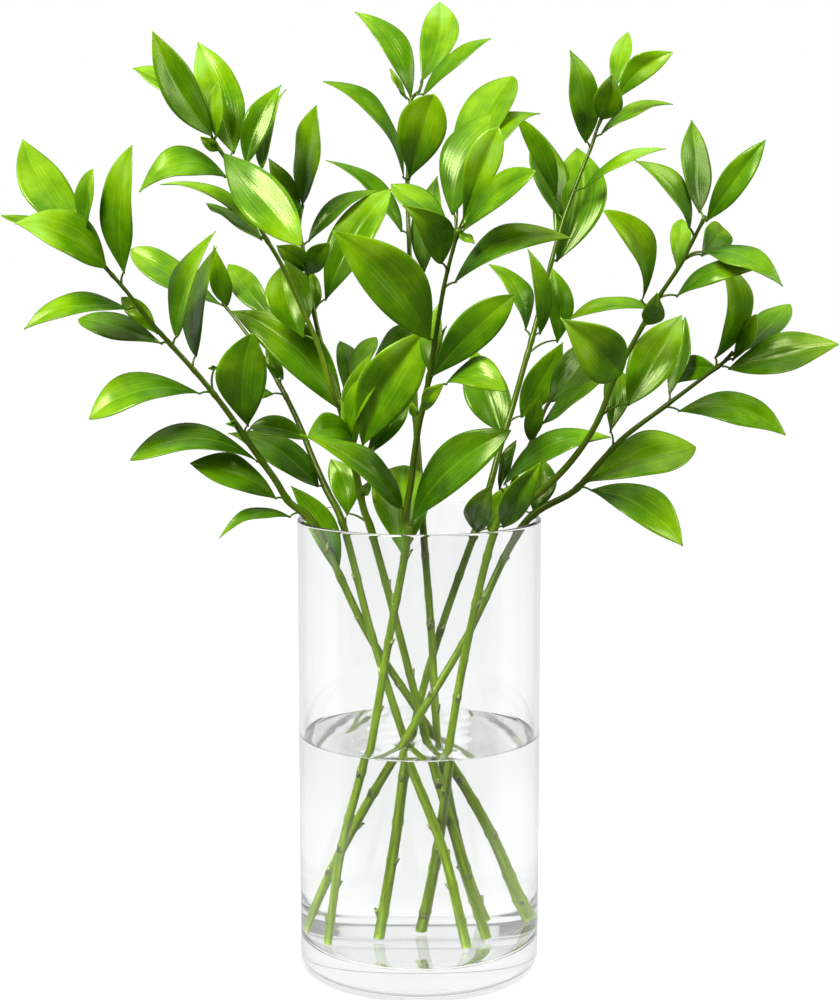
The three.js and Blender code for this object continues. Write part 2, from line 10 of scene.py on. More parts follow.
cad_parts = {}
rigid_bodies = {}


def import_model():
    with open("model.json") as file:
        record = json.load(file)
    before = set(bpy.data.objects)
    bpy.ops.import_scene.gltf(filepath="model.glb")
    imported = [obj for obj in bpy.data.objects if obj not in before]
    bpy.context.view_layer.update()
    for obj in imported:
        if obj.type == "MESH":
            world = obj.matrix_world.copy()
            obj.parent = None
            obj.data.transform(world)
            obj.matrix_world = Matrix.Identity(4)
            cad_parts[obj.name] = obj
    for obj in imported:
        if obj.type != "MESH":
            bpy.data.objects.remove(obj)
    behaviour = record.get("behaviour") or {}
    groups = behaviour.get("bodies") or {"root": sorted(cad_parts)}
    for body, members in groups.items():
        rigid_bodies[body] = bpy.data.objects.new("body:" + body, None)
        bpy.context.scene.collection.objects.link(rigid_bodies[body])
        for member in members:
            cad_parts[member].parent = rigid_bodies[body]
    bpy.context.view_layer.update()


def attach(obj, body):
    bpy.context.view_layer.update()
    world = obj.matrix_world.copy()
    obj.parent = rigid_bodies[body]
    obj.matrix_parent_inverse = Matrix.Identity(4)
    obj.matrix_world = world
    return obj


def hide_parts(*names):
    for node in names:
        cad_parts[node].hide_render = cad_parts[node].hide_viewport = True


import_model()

MM = 0.001
BODY = "root"

# Vase and water.
VASE_RADIUS = 70 * MM
VASE_HEIGHT = 263 * MM
WALL = 3 * MM
LIP_ROUND = 1.2 * MM
BASE_THICKNESS = 16 * MM
FOOT_RADIUS = 64 * MM
FOOT_ROUND = VASE_RADIUS - FOOT_RADIUS
FLOOR_ROUND = 7 * MM
WATER_LEVEL = 136.3 * MM
WATER_OVERLAP = 0.12 * MM
MENISCUS_RISE = 1.4 * MM
MENISCUS_REACH = 3.2 * MM
TURN_STEPS = 144

# Stems.
CUT_RADIUS = 2.4 * MM
LIP_RADIUS = 2.1 * MM
TIP_RADIUS = 0.9 * MM
FORK_RADIUS = 1.6 * MM
STEM_SIDES = 14
STEM_STEP = 3 * MM
CUT_HEIGHT = 17.9 * MM
INSIDE_LEVELS = [CUT_HEIGHT, 78 * MM, WATER_LEVEL, 196 * MM, VASE_HEIGHT]
NODE_SWELL = 0.3
NODE_REACH = 1.6 * MM
SCAR_SPACING = 24 * MM

# Leaves.
LEAF_THICKNESS = 0.45 * MM
LEAF_STEPS = 24
LEAF_COLUMNS = 12
LEAF_FOLD = 0.5
BLADE_TAPER = 2.1
MUCRO_HALF = 0.28 * MM
SWELL = 0.7 * MM
RIB_GROOVE = 0.12 * MM
RIB_WIDTH = 0.6 * MM
STALK_ROOT_RADIUS = 0.75 * MM
STALK_END_RADIUS = 0.5 * MM
STALK_SIDES = 8
STALK_STEPS = 6
STALK_SLOPE = 0.8
BASE_LEAN = 0.12
SAMPLES = 400

# The stems and leaves are laid out in front elevation: x and z on the upright plane through the
# vase's axis, as seen from an eye in front of the vase, in millimetres. A depth then moves the
# point along its sight line: behind the plane if it is positive, in front if it is negative.
EYE_DISTANCE = 1100
EYE_HEIGHT = 419.2

# Each stem: where it passes the five levels inside the vase (x, y), from its cut end on the vase's
# floor up to the lip, then its route above the lip (elevation x, z, depth). A leaf is a row of
# base x, z, tip x, z (elevation), how far the tip leans back from the stem (forward if negative),
# width, the turn of its upper face from the front up towards the sky (degrees), its bow, where
# along its length it is widest, and its sideways sway. Most of these numbers were worked out by a
# fitting program from measured points. Only the leans, most turns and a few rows were set one by one.
STEMS = [
  {
    "inside": [[41.3, 25.7], [30, 8.5], [7.9, -9.8], [-29, -9], [-62.1, -9]],
    "route": [
      [-74.5, 271.6, -10], [-82.5, 284.5, -14], [-89.5, 294.5, -17], [-96.5, 304.4, -21],
      [-110.5, 325.2, -29], [-124.5, 343.1, -36], [-138.5, 359, -41], [-152.4, 374.8, -47],
      [-165.4, 391.7, -53], [-177.4, 405.6, -59], [-181.4, 410.5, -60],
    ],
    "leaves": [
      [-183, 418.6, -222.3, 476.9, 26, 27.1, 40, -0.2, 0.52, -6.4],
      [-176.5, 404.6, -227.8, 430.3, -19, 30.3, 45, 6.2, 0.5, 2.6],
      [-191.4, 420.8, -235.5, 434.8, 40, 22.3, 75, 0.7, 0.56, -0.1],
      [-189.1, 422, -183.4, 460.4, -16, 17.5, 50, 1, 0.57, 0.6],
      [-166.9, 401.8, -161.2, 473.6, -26, 25.2, 36, 4.3, 0.53, -0.8],
      [-164.5, 382.1, -224.3, 370.8, -21, 19.7, 55, 6.5, 0.48, 1.7],
      [-145.6, 362.3, -193.5, 376.4, 18, 19.8, 45, 2.3, 0.62, 0.4],
      [-148.3, 367.9, -168.9, 388.8, 6, 10.8, 10, 1, 0.57, 0.8],
      [-124.4, 334.1, -188.6, 319.5, -22, 25.7, 50, 8.3, 0.59, 3.9],
      [-91.8, 294.8, -165.6, 296, -26, 23.4, 55, 11.1, 0.61, 6.2],
      [-81.7, 273.4, -131.3, 294.2, -19, 22.3, 45, 5.2, 0.55, 1.5],
      [-73.7, 263, -115.3, 250.8, -16, 10.4, 55, 7.3, 0.47, 2.9],
      [-97.8, 314.9, -94.9, 368.5, -39, 28.1, 10, 4.1, 0.58, -3.3],
      [-138.1, 365.7, -115.1, 425.9, -22, 27.3, 55, 4, 0.39, -0.5],
      [-126.9, 354.9, -114.7, 416.9, 22, 30.5, 60, 5.9, 0.42, -1.2],
      [-96.7, 314.9, -62.5, 306.9, 7, 15.5, 45, 3.5, 0.39, -0.7],
      [-103.5, 315.5, -110.4, 316.7, -7, 3.3, 10, 1, 0.52, 0.7],
      [-114.5, 349.2, -120.2, 348.6, -2, 2.8, 25, 0.8, 0.5, -0.6],
      [-46.9, 229.2, -73.6, 281, 6, 15.7, 12, 1.5, 0.5, 4.9],
    ],
  },
  {
    "inside": [[22.5, -20.6], [11, -24.6], [-7.4, -26.4], [-26.6, -15.2], [-45.6, 3.4]],
    "route": [
      [-52.5, 277.6, 9], [-61.5, 298.4, 21], [-68.5, 316.3, 31], [-79.5, 339.1, 44],
      [-91.5, 359, 56], [-104.5, 376.8, 68], [-111.5, 385.7, 73],
    ],
    "leaves": [
      [-110.6, 383.8, -162.7, 415.8, 22, 23.8, 45, 0.3, 0.64, -3],
      [-108.4, 384.3, -115.8, 418, -13, 12.8, 15, 1.7, 0.4, -2.1],
      [-84.6, 377, -108.1, 407.4, 38, 16.8, 10, 3, 0.49, -0.6],
      [-77.5, 342.1, -87.5, 359, 4, 8, 0, 1, 0.45, 0],
      [-83.4, 333.8, -99.9, 334.4, 3, 7.7, 30, 0.9, 0.45, -0.3],
      [-57.5, 280.4, -109.3, 311.5, 21, 23.2, 45, 6.1, 0.44, 2.9],
    ],
  },
  {
    "inside": [[29.7, -2.9], [17.3, -12.8], [4.3, -22.7], [-10.2, -24.4], [-28.1, -25.2]],
    "route": [
      [-31.6, 266.7, -25], [-36.5, 290.5, -22], [-40.5, 307.4, -19], [-46.5, 333.2, -12],
      [-55.5, 361.9, -4], [-60.5, 384.7, 3], [-65.5, 415.5, 12], [-67.5, 429.4, 16],
      [-65.5, 440.3, 20],
    ],
    "leaves": [
      [-66.6, 433.1, -84.3, 466.4, -13, 16.4, 40, 0.8, 0.48, -1.6],
      [-66, 439.8, -57.7, 495.6, -21, 25.1, 50, 0.9, 0.53, 1.5],
      [-62.8, 419.7, -22.1, 448.7, 16, 13.5, 45, 6.2, 0.46, -2.1],
      [-63.5, 402.9, -80.3, 417.5, -30, 12.5, 10, 2.1, 0.58, 1.5],
      [-64, 401.8, -50.9, 419.2, -40, 13.1, 10, 2.1, 0.56, -0.3],
      [-59.1, 380.4, -61.2, 403.5, 5, 9.6, 30, 1, 0.51, 0.1],
      [-53.4, 386.6, -15.9, 449.3, 26, 26.3, 25, 4.8, 0.54, -1.6],
      [-32.7, 303.5, 4.4, 369.6, -27, 31.2, 0, 3.9, 0.57, -5.1],
      [-38.4, 308.6, -64.2, 309.2, -38, 19.7, 45, 5.7, 0.52, 2.1],
      [-43.5, 323.5, -106.7, 381, 26, 26.6, 10, 4.7, 0.49, 8.6],
      [-43.6, 307.5, -26.8, 357.7, 19, 12.2, 15, 3.5, 0.46, -1.9],
      [-41.2, 329.3, -45, 364, 40, 14.4, 10, 2.3, 0.55, 3.2],
      [-38.3, 333.3, -24.5, 366.2, 40, 11.8, 10, 2.5, 0.63, -2.4],
      [-39, 306.9, -20.1, 345.8, -21, 15.3, 40, 4.6, 0.57, -3.8],
      [-30.5, 297.7, -6.4, 331.5, 14, 13.3, 0, 2, 0.58, -0.7],
      [-36.5, 304.4, -44.5, 330.2, -6, 11, 40, 1, 0.45, 0],
      [-41.5, 263.6, -50.5, 296.6, 13, 17.5, 0, 1.7, 0.55, 3.9],
      [-32.6, 275.6, -27.6, 284.5, -14, 6, 10, 1, 0.45, 0],
    ],
    "branch": {
      "route": [
        [-45.5, 323.2, -27], [-49.5, 333.2, -28], [-57.5, 361.9, -29], [-67.5, 384.7, -32],
        [-78.5, 408.5, -33], [-88.5, 425.4, -35], [-105.4, 460.1, -39], [-112.4, 472, -40],
        [-116.4, 477.9, -40],
      ],
      "leaves": [
        [-115.5, 478, -148.3, 536.1, -22, 21.8, 30, 0.9, 0.49, -4.1],
        [-118.3, 483, -159.6, 515.9, 18, 20.7, 55, 3.4, 0.64, 0.9],
        [-103.9, 468.7, -123.2, 530.1, 22, 25.6, 20, 3.4, 0.48, 1.5],
        [-113.9, 477.5, -112.3, 508.8, -5, 10.6, 30, 0.6, 0.51, 0.5],
        [-97.2, 462.6, -77.2, 506.6, 14, 15.2, 5, 2.5, 0.46, -2.9],
        [-88.3, 460.9, -74.4, 504.4, 40, 10.1, 30, 3.8, 0.33, -2.4],
        [-112.8, 470.3, -122.3, 478, -16, 6.1, 10, 1, 0.56, -0.3],
        [-108, 455.9, -157.6, 447.6, -18, 23.4, 41, 11.9, 0.47, 4.8],
        [-88.7, 422, -145.7, 452, 22, 12.7, 62, 7.1, 0.5, 3],
        [-88.7, 420.8, -120, 441.5, 40, 15.4, 65, 1.2, 0.5, -1.1],
        [-110.6, 469.8, -66.2, 417.5, -35, 26.2, 10, 2.9, 0.56, 0.4],
        [-65.4, 365.7, -77.6, 406.3, 19, 23.3, 10, 1.6, 0.58, -3.5],
        [-62.5, 376.8, -76.5, 410.5, 13, 14, 40, 2, 0.45, 0],
      ],
    },
  },
  {
    "inside": [[-45.1, -18.8], [-39.2, -30.7], [-27.3, -42.5], [-17.4, -39.8], [-6.3, -34.9]],
    "route": [
      [-7.6, 258.7, -34], [-4.6, 284.5, -45], [-0.6, 313.3, -61], [5.4, 342.1, -72],
      [10.4, 372.8, -81], [14.4, 396.6, -89], [20.4, 420.4, -97], [22.4, 427.4, -100],
    ],
    "leaves": [
      [20.7, 440.4, 51.8, 511.5, 40, 30.3, 41, 4.7, 0.65, -0.9],
      [18.5, 434.8, 67.6, 491.2, 27, 31, 40, 12.3, 0.42, -9.3],
      [24.1, 430.9, 44.7, 483.5, -22, 17.3, 10, 3, 0.68, 0.2],
      [26.4, 429.2, 36.4, 464.8, 4, 8.7, 20, 1.4, 0.63, -1.1],
      [24.1, 425.3, 65.6, 459.2, -40, 18.5, 45, 3.1, 0.61, -1.1],
      [24.4, 427.4, 38.4, 442.3, 6, 7, 60, 1, 0.45, 0],
      [23, 425.9, 31.5, 419.2, -6, 7.5, 50, -0.6, 0.5, 1.1],
      [19.7, 396.7, 86.2, 422, -24, 19.5, 45, 9.4, 0.47, -5.5],
      [16.8, 429.2, -15.9, 452, 14, 19.5, 45, 1.4, 0.54, -1.5],
      [12.9, 407.4, -9.7, 440.4, -40, 17.6, 10, 3.3, 0.42, 5.8],
      [6.1, 364.5, -48.6, 425.9, -40, 30.2, 10, 4.7, 0.49, 4.9],
      [6.7, 343, 53.7, 390, -22, 20.8, 0, 2.9, 0.6, -1.9],
      [6.4, 343.1, 15.4, 372.8, 19, 10, 60, 1, 0.45, 0],
      [7.4, 345.1, 11.4, 385.7, 14, 16, 45, 2, 0.45, 0],
      [14.7, 339.5, 49.5, 335.5, -24, 21.1, 45, 6.5, 0.58, -2.8],
      [2.7, 324.1, 14.1, 340.1, -22, 8.4, 10, 1.2, 0.47, -1.8],
      [-4.7, 259.5, 52.4, 313.2, -26, 26.4, 30, 6.1, 0.57, -4.6],
      [-8.8, 239.1, -8.7, 293.1, 40, 34, 10, 3.6, 0.61, -2.4],
      [-9.9, 268.2, -68.2, 310.9, -24, 21.1, 50, 5.4, 0.34, 2.3],
    ],
  },
  {
    "inside": [[22.9, 38.6], [15, 11.1], [10.3, -16], [7, -5.6], [1.7, 9.2]],
    "route": [
      [1.4, 272.6, 12], [-1.6, 313.3, 25], [-3.6, 359, 37], [-5.6, 415.5, 53], [-6.6, 451.2, 64],
      [-5.6, 475.9, 70], [-4.6, 498.7, 76], [0.4, 503.7, 78], [1.4, 508.6, 80],
    ],
    "leaves": [
      [-4.6, 499.5, -35.7, 546.6, 21, 17.9, 30, 6.3, 0.49, 5.4],
      [-6.8, 498.9, -16.3, 515.9, -5, 7, 55, -0.5, 0.51, -1],
      [1, 508.3, 11.5, 551.8, 40, 22.9, 10, 1.9, 0.55, 5.2],
      [1.6, 500.6, 40, 532.3, -18, 16.9, 55, 3.5, 0.48, -0.9],
      [-5.7, 454.3, 8.3, 501.7, -40, 28.6, 10, 4, 0.68, 0.2],
      [-8.5, 454.8, -53.7, 508.8, -26, 24.6, 65, 10.7, 0.57, 3.6],
      [-9.7, 425.3, -52.3, 465.3, 21, 15.1, 50, 6.4, 0.41, 3.6],
      [2.7, 402.9, 10, 456.5, 21, 21.5, 40, 2.1, 0.47, 1],
      [2.7, 371.3, -25.7, 354.3, 19, 18.3, 40, 2.8, 0.45, -0.3],
      [-1.6, 319.3, -5.6, 331.2, -3, 5, 0, 1, 0.45, 0],
    ],
  },
  {
    "inside": [[-17.5, 0], [-10.5, -3.5], [-4, -5.8], [12.4, 4.7], [37.2, 18.1]],
    "route": [
      [35.4, 261.7, 21], [41.4, 284.5, 27], [47.4, 307.4, 35], [53.4, 327.2, 41], [59.4, 349, 45],
      [64.4, 366.9, 49], [70.4, 390.7, 55], [76.4, 415.5, 59], [83.4, 438.3, 64],
      [90.3, 457.1, 68], [97.3, 475, 72], [99.3, 481.9, 73], [104.3, 493.8, 74],
    ],
    "leaves": [
      [93.5, 474.7, 84, 525.7, -19, 22.1, 30, 4, 0.48, 1.3],
      [108.2, 502.8, 116.2, 535.5, 26, 12, 15, 1.1, 0.56, -0.4],
      [110.5, 498.9, 141.4, 524.6, -19, 15.3, 10, 2.7, 0.55, -3.9],
      [101.7, 487.4, 107.6, 512.6, -40, 17.5, 10, 1.8, 0.52, 2.1],
      [101.3, 479.1, 141.9, 496.2, 16, 15, 62, 4.9, 0.49, -0.4],
      [77.3, 408.5, 88.5, 472, 40, 32.2, 10, 3.2, 0.54, 8.5],
      [77, 443.1, 54.2, 489.6, -18, 12.5, 0, 3.3, 0.55, 4.3],
      [78.2, 434.2, 67.1, 481.3, 19, 31.7, 46, -1.1, 0.48, -1],
      [92.1, 449.3, 138.4, 471.7, -18, 12.9, 62, 4.6, 0.49, -0.8],
      [60.6, 369.6, 39.4, 407.4, 16, 19.8, 50, 6.7, 0.53, 3.6],
      [68.6, 367.4, 61.4, 415.8, -18, 13, 30, 4.8, 0.48, 2.7],
      [78.3, 362.8, 75.1, 405.2, 6, 15.4, 0, 1.2, 0.52, 3.3],
      [58.1, 320.1, 81.7, 363.4, -18, 18.9, 0, 3, 0.48, -0.1],
      [46.7, 312.7, 30.6, 360.6, 40, 27, 10, 2.6, 0.37, -2.1],
      [32.7, 254.3, 41.7, 281.5, -40, 16.2, 10, 2.1, 0.48, -2.7],
      [39.6, 254.9, 50.9, 281, -6, 13.2, 40, 1.4, 0.49, -0.5],
    ],
  },
  {
    "inside": [[0.7, 19.6], [8.7, -12.2], [16, -42.8], [25.8, -46.2], [41.3, -47.1]],
    "route": [
      [48.4, 265.7, -47], [57.4, 269.6, -50], [69.4, 277.6, -55], [86.4, 294.5, -65],
      [101.4, 317.3, -79], [111.4, 343.1, -86], [125.4, 369.9, -94], [136.3, 389.7, -100],
      [147.3, 406.6, -105], [157.3, 426.4, -110], [161.3, 434.3, -113],
    ],
    "leaves": [
      [158.1, 435.9, 152.7, 487.4, 18, 20.7, 35, 1.3, 0.48, -1.8],
      [161.6, 430.9, 194.1, 476.4, -19, 14.8, 25, 2.8, 0.53, 0.6],
      [152.7, 427, 121.1, 465.3, -16, 22.4, 55, 4.2, 0.41, 1],
      [145.7, 405.2, 148, 432.6, 29, 10.9, 10, 2, 0.56, 0.2],
      [159.7, 411.9, 170.7, 428.7, 40, 15.7, 10, 2.1, 0.54, 0.8],
      [161.9, 414.1, 205.9, 395, -19, 18.3, 46, 6.5, 0.43, -1.3],
      [145.4, 388.8, 188.1, 404, -16, 13.8, 45, 4.9, 0.54, -3.3],
      [126.2, 386, 104, 437.6, -19, 18.1, 35, 8.7, 0.63, 6.2],
      [133.6, 382.1, 84.4, 375.9, 16, 13.1, 60, 4.8, 0.51, 0.5],
      [129.8, 373, 134.6, 391.1, -32, 11.5, 10, 1.1, 0.46, 1],
      [119.1, 327, 149, 378.7, 19, 24.3, 10, 3, 0.48, -0.8],
      [115.4, 345.2, 80.4, 377, -40, 27.4, 10, 3, 0.41, 0],
      [48.2, 256.6, 69.2, 294.2, -40, 15.8, 0, 1.8, 0.49, -1.5],
    ],
    "branch": {
      "route": [
        [48.4, 265.7, -47], [53.4, 281.6, -47], [60.4, 298.4, -44], [67.4, 313.3, -41],
        [72.4, 326.2, -37], [78.4, 336.1, -33],
      ],
      "leaves": [
        [48.1, 281.5, 109.7, 309.2, -22, 18.9, 50, 8.2, 0.51, -4.7],
        [45.8, 278.7, 55.3, 307.5, 7, 9.3, 50, 1.6, 0.54, 0.4],
        [75.2, 329.3, 101.5, 365.7, 40, 23.8, 10, 2.9, 0.43, 1.2],
        [70.1, 316.7, 107.5, 344.1, -13, 15.3, 65, 1.8, 0.47, 0.1],
        [62.8, 307.5, 68.3, 333.8, -5, 10.4, 10, 1, 0.43, 0.3],
      ],
    },
  },
  {
    "inside": [[-53.8, 0], [-34.9, -16.3], [-9.9, -31.9], [25.7, -23.6], [61.5, -12.3]],
    "route": [
      [89.4, 278.6, -16], [103.4, 294.5, -21], [117.4, 309.3, -27], [139.4, 326.2, -33],
      [160.3, 342.1, -37], [174.3, 353, -41], [178.3, 358, -43],
    ],
    "leaves": [
      [168.2, 353.8, 169.3, 411.9, -21, 30.8, 50, 8.7, 0.45, 3.2],
      [175.7, 348.1, 238.5, 362.3, -22, 27, 45, 1, 0.52, 1.2],
      [177.9, 352.6, 191, 379.3, -6, 9.7, 35, 0.3, 0.59, 1.5],
      [183.5, 357.7, 210.1, 384.9, 26, 18.1, 45, 1, 0.58, 1.3],
      [147.7, 324.1, 209.7, 310.4, -22, 23.9, 45, 7.6, 0.53, -4],
      [142.4, 333.3, 150.7, 377.6, 18, 15.2, 50, -0.8, 0.51, 3],
      [168.9, 348.6, 141.8, 335, 38, 15.4, 45, 5.3, 0.35, 4.2],
      [109.1, 311.5, 112.6, 348.6, 21, 15.7, 10, 1.9, 0.62, 1.6],
      [96.2, 283.3, 158.4, 303.5, 22, 32.1, 45, 3.4, 0.6, -0.5],
      [98, 278.7, 152, 246.1, -22, 28.6, 45, 6.7, 0.5, -3],
      [66, 264.2, 70.9, 296.6, 19, 17, 10, 1.9, 0.55, 1.4],
    ],
  },
]


# ---------------------------------------------------------------- shader expressions


class Socket:
    """A shader socket that takes part in Python expressions."""

    def __init__(self, tree, socket):
        self.tree = tree
        self.socket = socket

    def math(self, operation, *values):
        return node(self.tree, "ShaderNodeMath", {"operation": operation}, [self, *values])

    def __add__(self, other):
        return self.math("ADD", other)

    def __radd__(self, other):
        return self.math("ADD", other)

    def __sub__(self, other):
        return self.math("SUBTRACT", other)

    def __rsub__(self, other):
        return node(self.tree, "ShaderNodeMath", {"operation": "SUBTRACT"}, [other, self])

    def __mul__(self, other):
        return self.math("MULTIPLY", other)

    def __rmul__(self, other):
        return self.math("MULTIPLY", other)

    def __truediv__(self, other):
        return self.math("DIVIDE", other)

    def __pow__(self, other):
        return self.math("POWER", other)

    def __abs__(self):
        return self.math("ABSOLUTE")


def node(tree, kind, settings=None, inputs=None, output=0):
    """One new node: its settings first, then the values or links of its sockets."""
    made = tree.nodes.new(kind)
    for name, value in (settings or {}).items():
        if name == "stops":
            ramp = made.color_ramp
            while len(ramp.elements) < len(value):
                ramp.elements.new(0.5)
            for element, (place_at, colour) in zip(ramp.elements, value):
                element.position = place_at
                element.color = (*colour, 1)
        else:
            setattr(made, name, value)
    pairs = inputs.items() if isinstance(inputs, dict) else enumerate(inputs or [])
    for key, value in pairs:
        socket = made.inputs[key]
        if isinstance(value, Socket):
            tree.links.new(value.socket, socket)
        elif socket.type == "RGBA" and len(value) == 3:
            socket.default_value = (*value, 1)
        else:
            socket.default_value = value
    return Socket(tree, made.outputs[output])


def mix_colour(tree, factor, first, second, blend="MIX"):
    made = {"data_type": "RGBA", "blend_type": blend}
    return node(tree, "ShaderNodeMix", made, {0: factor, 6: first, 7: second}, output=2)


def soft_step(tree, value, low, high):
    """0 below low and 1 above high, with a smooth change between them."""
    made = {"interpolation_type": "SMOOTHSTEP"}
    return node(tree, "ShaderNodeMapRange", made, {"Value": value, 1: low, 2: high})


def noise(tree, vector, scale, detail=2.0, roughness=0.5):
    sockets = {"Vector": vector, "Scale": scale, "Detail": detail, "Roughness": roughness}
    return node(tree, "ShaderNodeTexNoise", {}, sockets)


def attribute(tree, name):
    return node(tree, "ShaderNodeAttribute", {"attribute_name": name}, output="Fac")


def uv_parts(tree):
    """The two parts of the piece's own UV map, and its vector."""
    vector = node(tree, "ShaderNodeUVMap", {"uv_map": "UVMap"})
    parts = node(tree, "ShaderNodeSeparateXYZ", {}, [vector])
    return parts, Socket(tree, parts.socket.node.outputs[1]), vector


def stretched(tree, vector, scale):
    return node(tree, "ShaderNodeMapping", {}, {"Vector": vector, "Scale": scale})


def object_vector(tree):
    return node(tree, "ShaderNodeTexCoord", output="Object")


def new_material(name):
    material = bpy.data.materials.new(name)
    material.use_nodes = True
    material.node_tree.nodes.clear()
    return material, material.node_tree


def finish_material(tree, surface):
    output = tree.nodes.new("ShaderNodeOutputMaterial")
    tree.links.new(surface.socket, output.inputs["Surface"])


# ---------------------------------------------------------------- materials

VEINS = 7
TRANSLUCENCE = 0.16
LEAF_SPECULAR = 0.42
STEM_SPECULAR = 0.45
LEAF_SHEEN = (0.88, 1.0, 0.42)
OLD_TONE = 0.28
YOUNG_TONE = 0.52
TONE_DRIFT = 0.18
OLD_HEIGHT = 0.26
YOUNG_HEIGHT = 0.54
DEEP_GREEN = (0.015, 0.068, 0.0003)
LEAF_GREEN = (0.074, 0.208, 0.0005)
YOUNG_GREEN = (0.195, 0.385, 0.0015)
SILVER_GREEN = (0.260, 0.500, 0.060)
RIB_GREEN = (0.220, 0.410, 0.006)
VEIN_GREEN = (0.185, 0.370, 0.002)
PALE_GREEN = (0.200, 0.360, 0.020)
STEM_GREEN = (0.064, 0.126, 0.001)
STEM_LIGHT = (0.190, 0.270, 0.010)
STEM_DEEP = (0.026, 0.056, 0.001)
CUT_COLOUR = (0.560, 0.640, 0.380)
SCAR_COLOUR = (0.230, 0.270, 0.070)


def leaf_material(name, upper):
    """Green blade: parallel veins that meet at both ends, a fine rib, uneven tone, and painted light
    and shade.
    """
    material, tree = new_material(name)
    along, across, uv = uv_parts(tree)
    place_vector = object_vector(tree)
    from_rib = abs(across * 2 - 1)
    rib = 1 - soft_step(tree, from_rib, 0.012, 0.05)
    edge = soft_step(tree, from_rib, 0.94, 1.0)
    wander = noise(tree, stretched(tree, uv, (2.5, 14, 1)), 1.0, 3.0)
    lines = ((from_rib + wander * 0.11) * (2 * math.pi * VEINS)).math("COSINE")
    veins = ((lines + 1) * 0.5) ** 4
    fibres = noise(tree, stretched(tree, uv, (2, 17, 1)), 1.0, 2.0, 0.6)
    # Large lighter and darker patches: partly uneven tone, partly painted light and shade that stands
    # in for lit and shaded parts of the blade.
    blotches = noise(tree, place_vector, 42.0, 3.0, 0.55)
    tone = attribute(tree, "tone") + (blotches - 0.5) * 1.15 + (fibres - 0.5) * 0.36
    # Painted shade and sheen: each blade is darker towards its base, where shade falls, and lighter
    # towards its tip, where the sheen is.
    tone = tone + (soft_step(tree, along, 0.0, 0.9) - 0.5) * 0.5
    stops = [(0.0, DEEP_GREEN), (0.42, LEAF_GREEN), (0.74, YOUNG_GREEN), (1.0, SILVER_GREEN)]
    colour = node(tree, "ShaderNodeValToRGB", {"stops": stops}, [tone])
    if upper:
        colour = mix_colour(tree, veins * 0.16, colour, VEIN_GREEN)
        colour = mix_colour(tree, rib * 0.3 + edge * 0.4, colour, RIB_GREEN)
        rough = 0.25 + (blotches - 0.5) * 0.14 + (fibres - 0.5) * 0.36
        relief = veins * 0.5 + fibres * 0.5 - rib * 0.8
        strength, depth = 0.3, 0.16 * MM
    else:
        colour = mix_colour(tree, 0.62, colour, PALE_GREEN)
        colour = mix_colour(tree, veins * 0.25 + rib * 0.5, colour, RIB_GREEN)
        rough = 0.48 + (fibres - 0.5) * 0.15
        relief = veins * 0.6 + fibres * 0.3 + rib * 1.2
        strength, depth = 0.3, 0.16 * MM
    bump_inputs = {"Strength": strength, "Distance": depth, "Height": relief}
    normal = node(tree, "ShaderNodeBump", {}, bump_inputs)
    surface = node(
        tree,
        "ShaderNodeBsdfPrincipled",
        {},
        {
            "Base Color": colour,
            "Roughness": rough,
            "Normal": normal,
            "Specular IOR Level": LEAF_SPECULAR,
            "Specular Tint": LEAF_SHEEN,
        },
    )
    glow = mix_colour(tree, 0.6, colour, YOUNG_GREEN)
    through = node(tree, "ShaderNodeBsdfTranslucent", {}, {"Color": glow, "Normal": normal})
    finish_material(tree, node(tree, "ShaderNodeMixShader", {}, [TRANSLUCENCE, surface, through]))
    return material




def stem_material():
    """Smooth green bark with long streaks, paler towards the cut end."""
    material, tree = new_material("ruscus_stem_skin")
    around, along, uv = uv_parts(tree)
    streaks = noise(tree, stretched(tree, uv, (9, 1.6, 1)), 1.0, 3.0, 0.6)
    fine = noise(tree, stretched(tree, uv, (46, 5, 1)), 1.0, 2.0)
    blotches = noise(tree, object_vector(tree), 120.0, 2.0)
    age = attribute(tree, "age")
    colour = mix_colour(tree, soft_step(tree, streaks, 0.35, 0.7) * age, STEM_GREEN, STEM_LIGHT)
    colour = mix_colour(tree, (1 - age) * 0.75, colour, STEM_DEEP)
    colour = mix_colour(tree, soft_step(tree, blotches, 0.55, 0.8) * 0.35, colour, STEM_DEEP)
    rough = 0.3 + (fine - 0.5) * 0.2
    bump_inputs = {"Strength": 0.3, "Distance": 0.2 * MM, "Height": fine * 0.6 + streaks * 0.6}
    normal = node(tree, "ShaderNodeBump", {}, bump_inputs)
    sockets = {
        "Base Color": colour,
        "Roughness": rough,
        "Normal": normal,
        "Specular IOR Level": STEM_SPECULAR,
        "Specular Tint": LEAF_SHEEN,
    }
    finish_material(tree, node(tree, "ShaderNodeBsdfPrincipled", {}, sockets))
    return material


def plain_material(name, colour, darker, roughness, scale):
    """A rough plant surface with small mottling: cut ends and bud scars."""
    material, tree = new_material(name)
    mottle = noise(tree, object_vector(tree), scale, 3.0)
    mixed = mix_colour(tree, soft_step(tree, mottle, 0.35, 0.65), colour, darker)
    bump_inputs = {"Strength": 0.4, "Distance": 0.2 * MM, "Height": mottle}
    normal = node(tree, "ShaderNodeBump", {}, bump_inputs)
    sockets = {"Base Color": mixed, "Roughness": roughness, "Normal": normal}
    finish_material(tree, node(tree, "ShaderNodeBsdfPrincipled", {}, sockets))
    return material


def clear_material(name, colour, index):
    material, tree = new_material(name)
    sockets = {
        "Base Color": colour,
        "Roughness": 0.0,
        "IOR": index,
        "Transmission Weight": 1.0,
    }
    finish_material(tree, node(tree, "ShaderNodeBsdfPrincipled", {}, sockets))
    return material


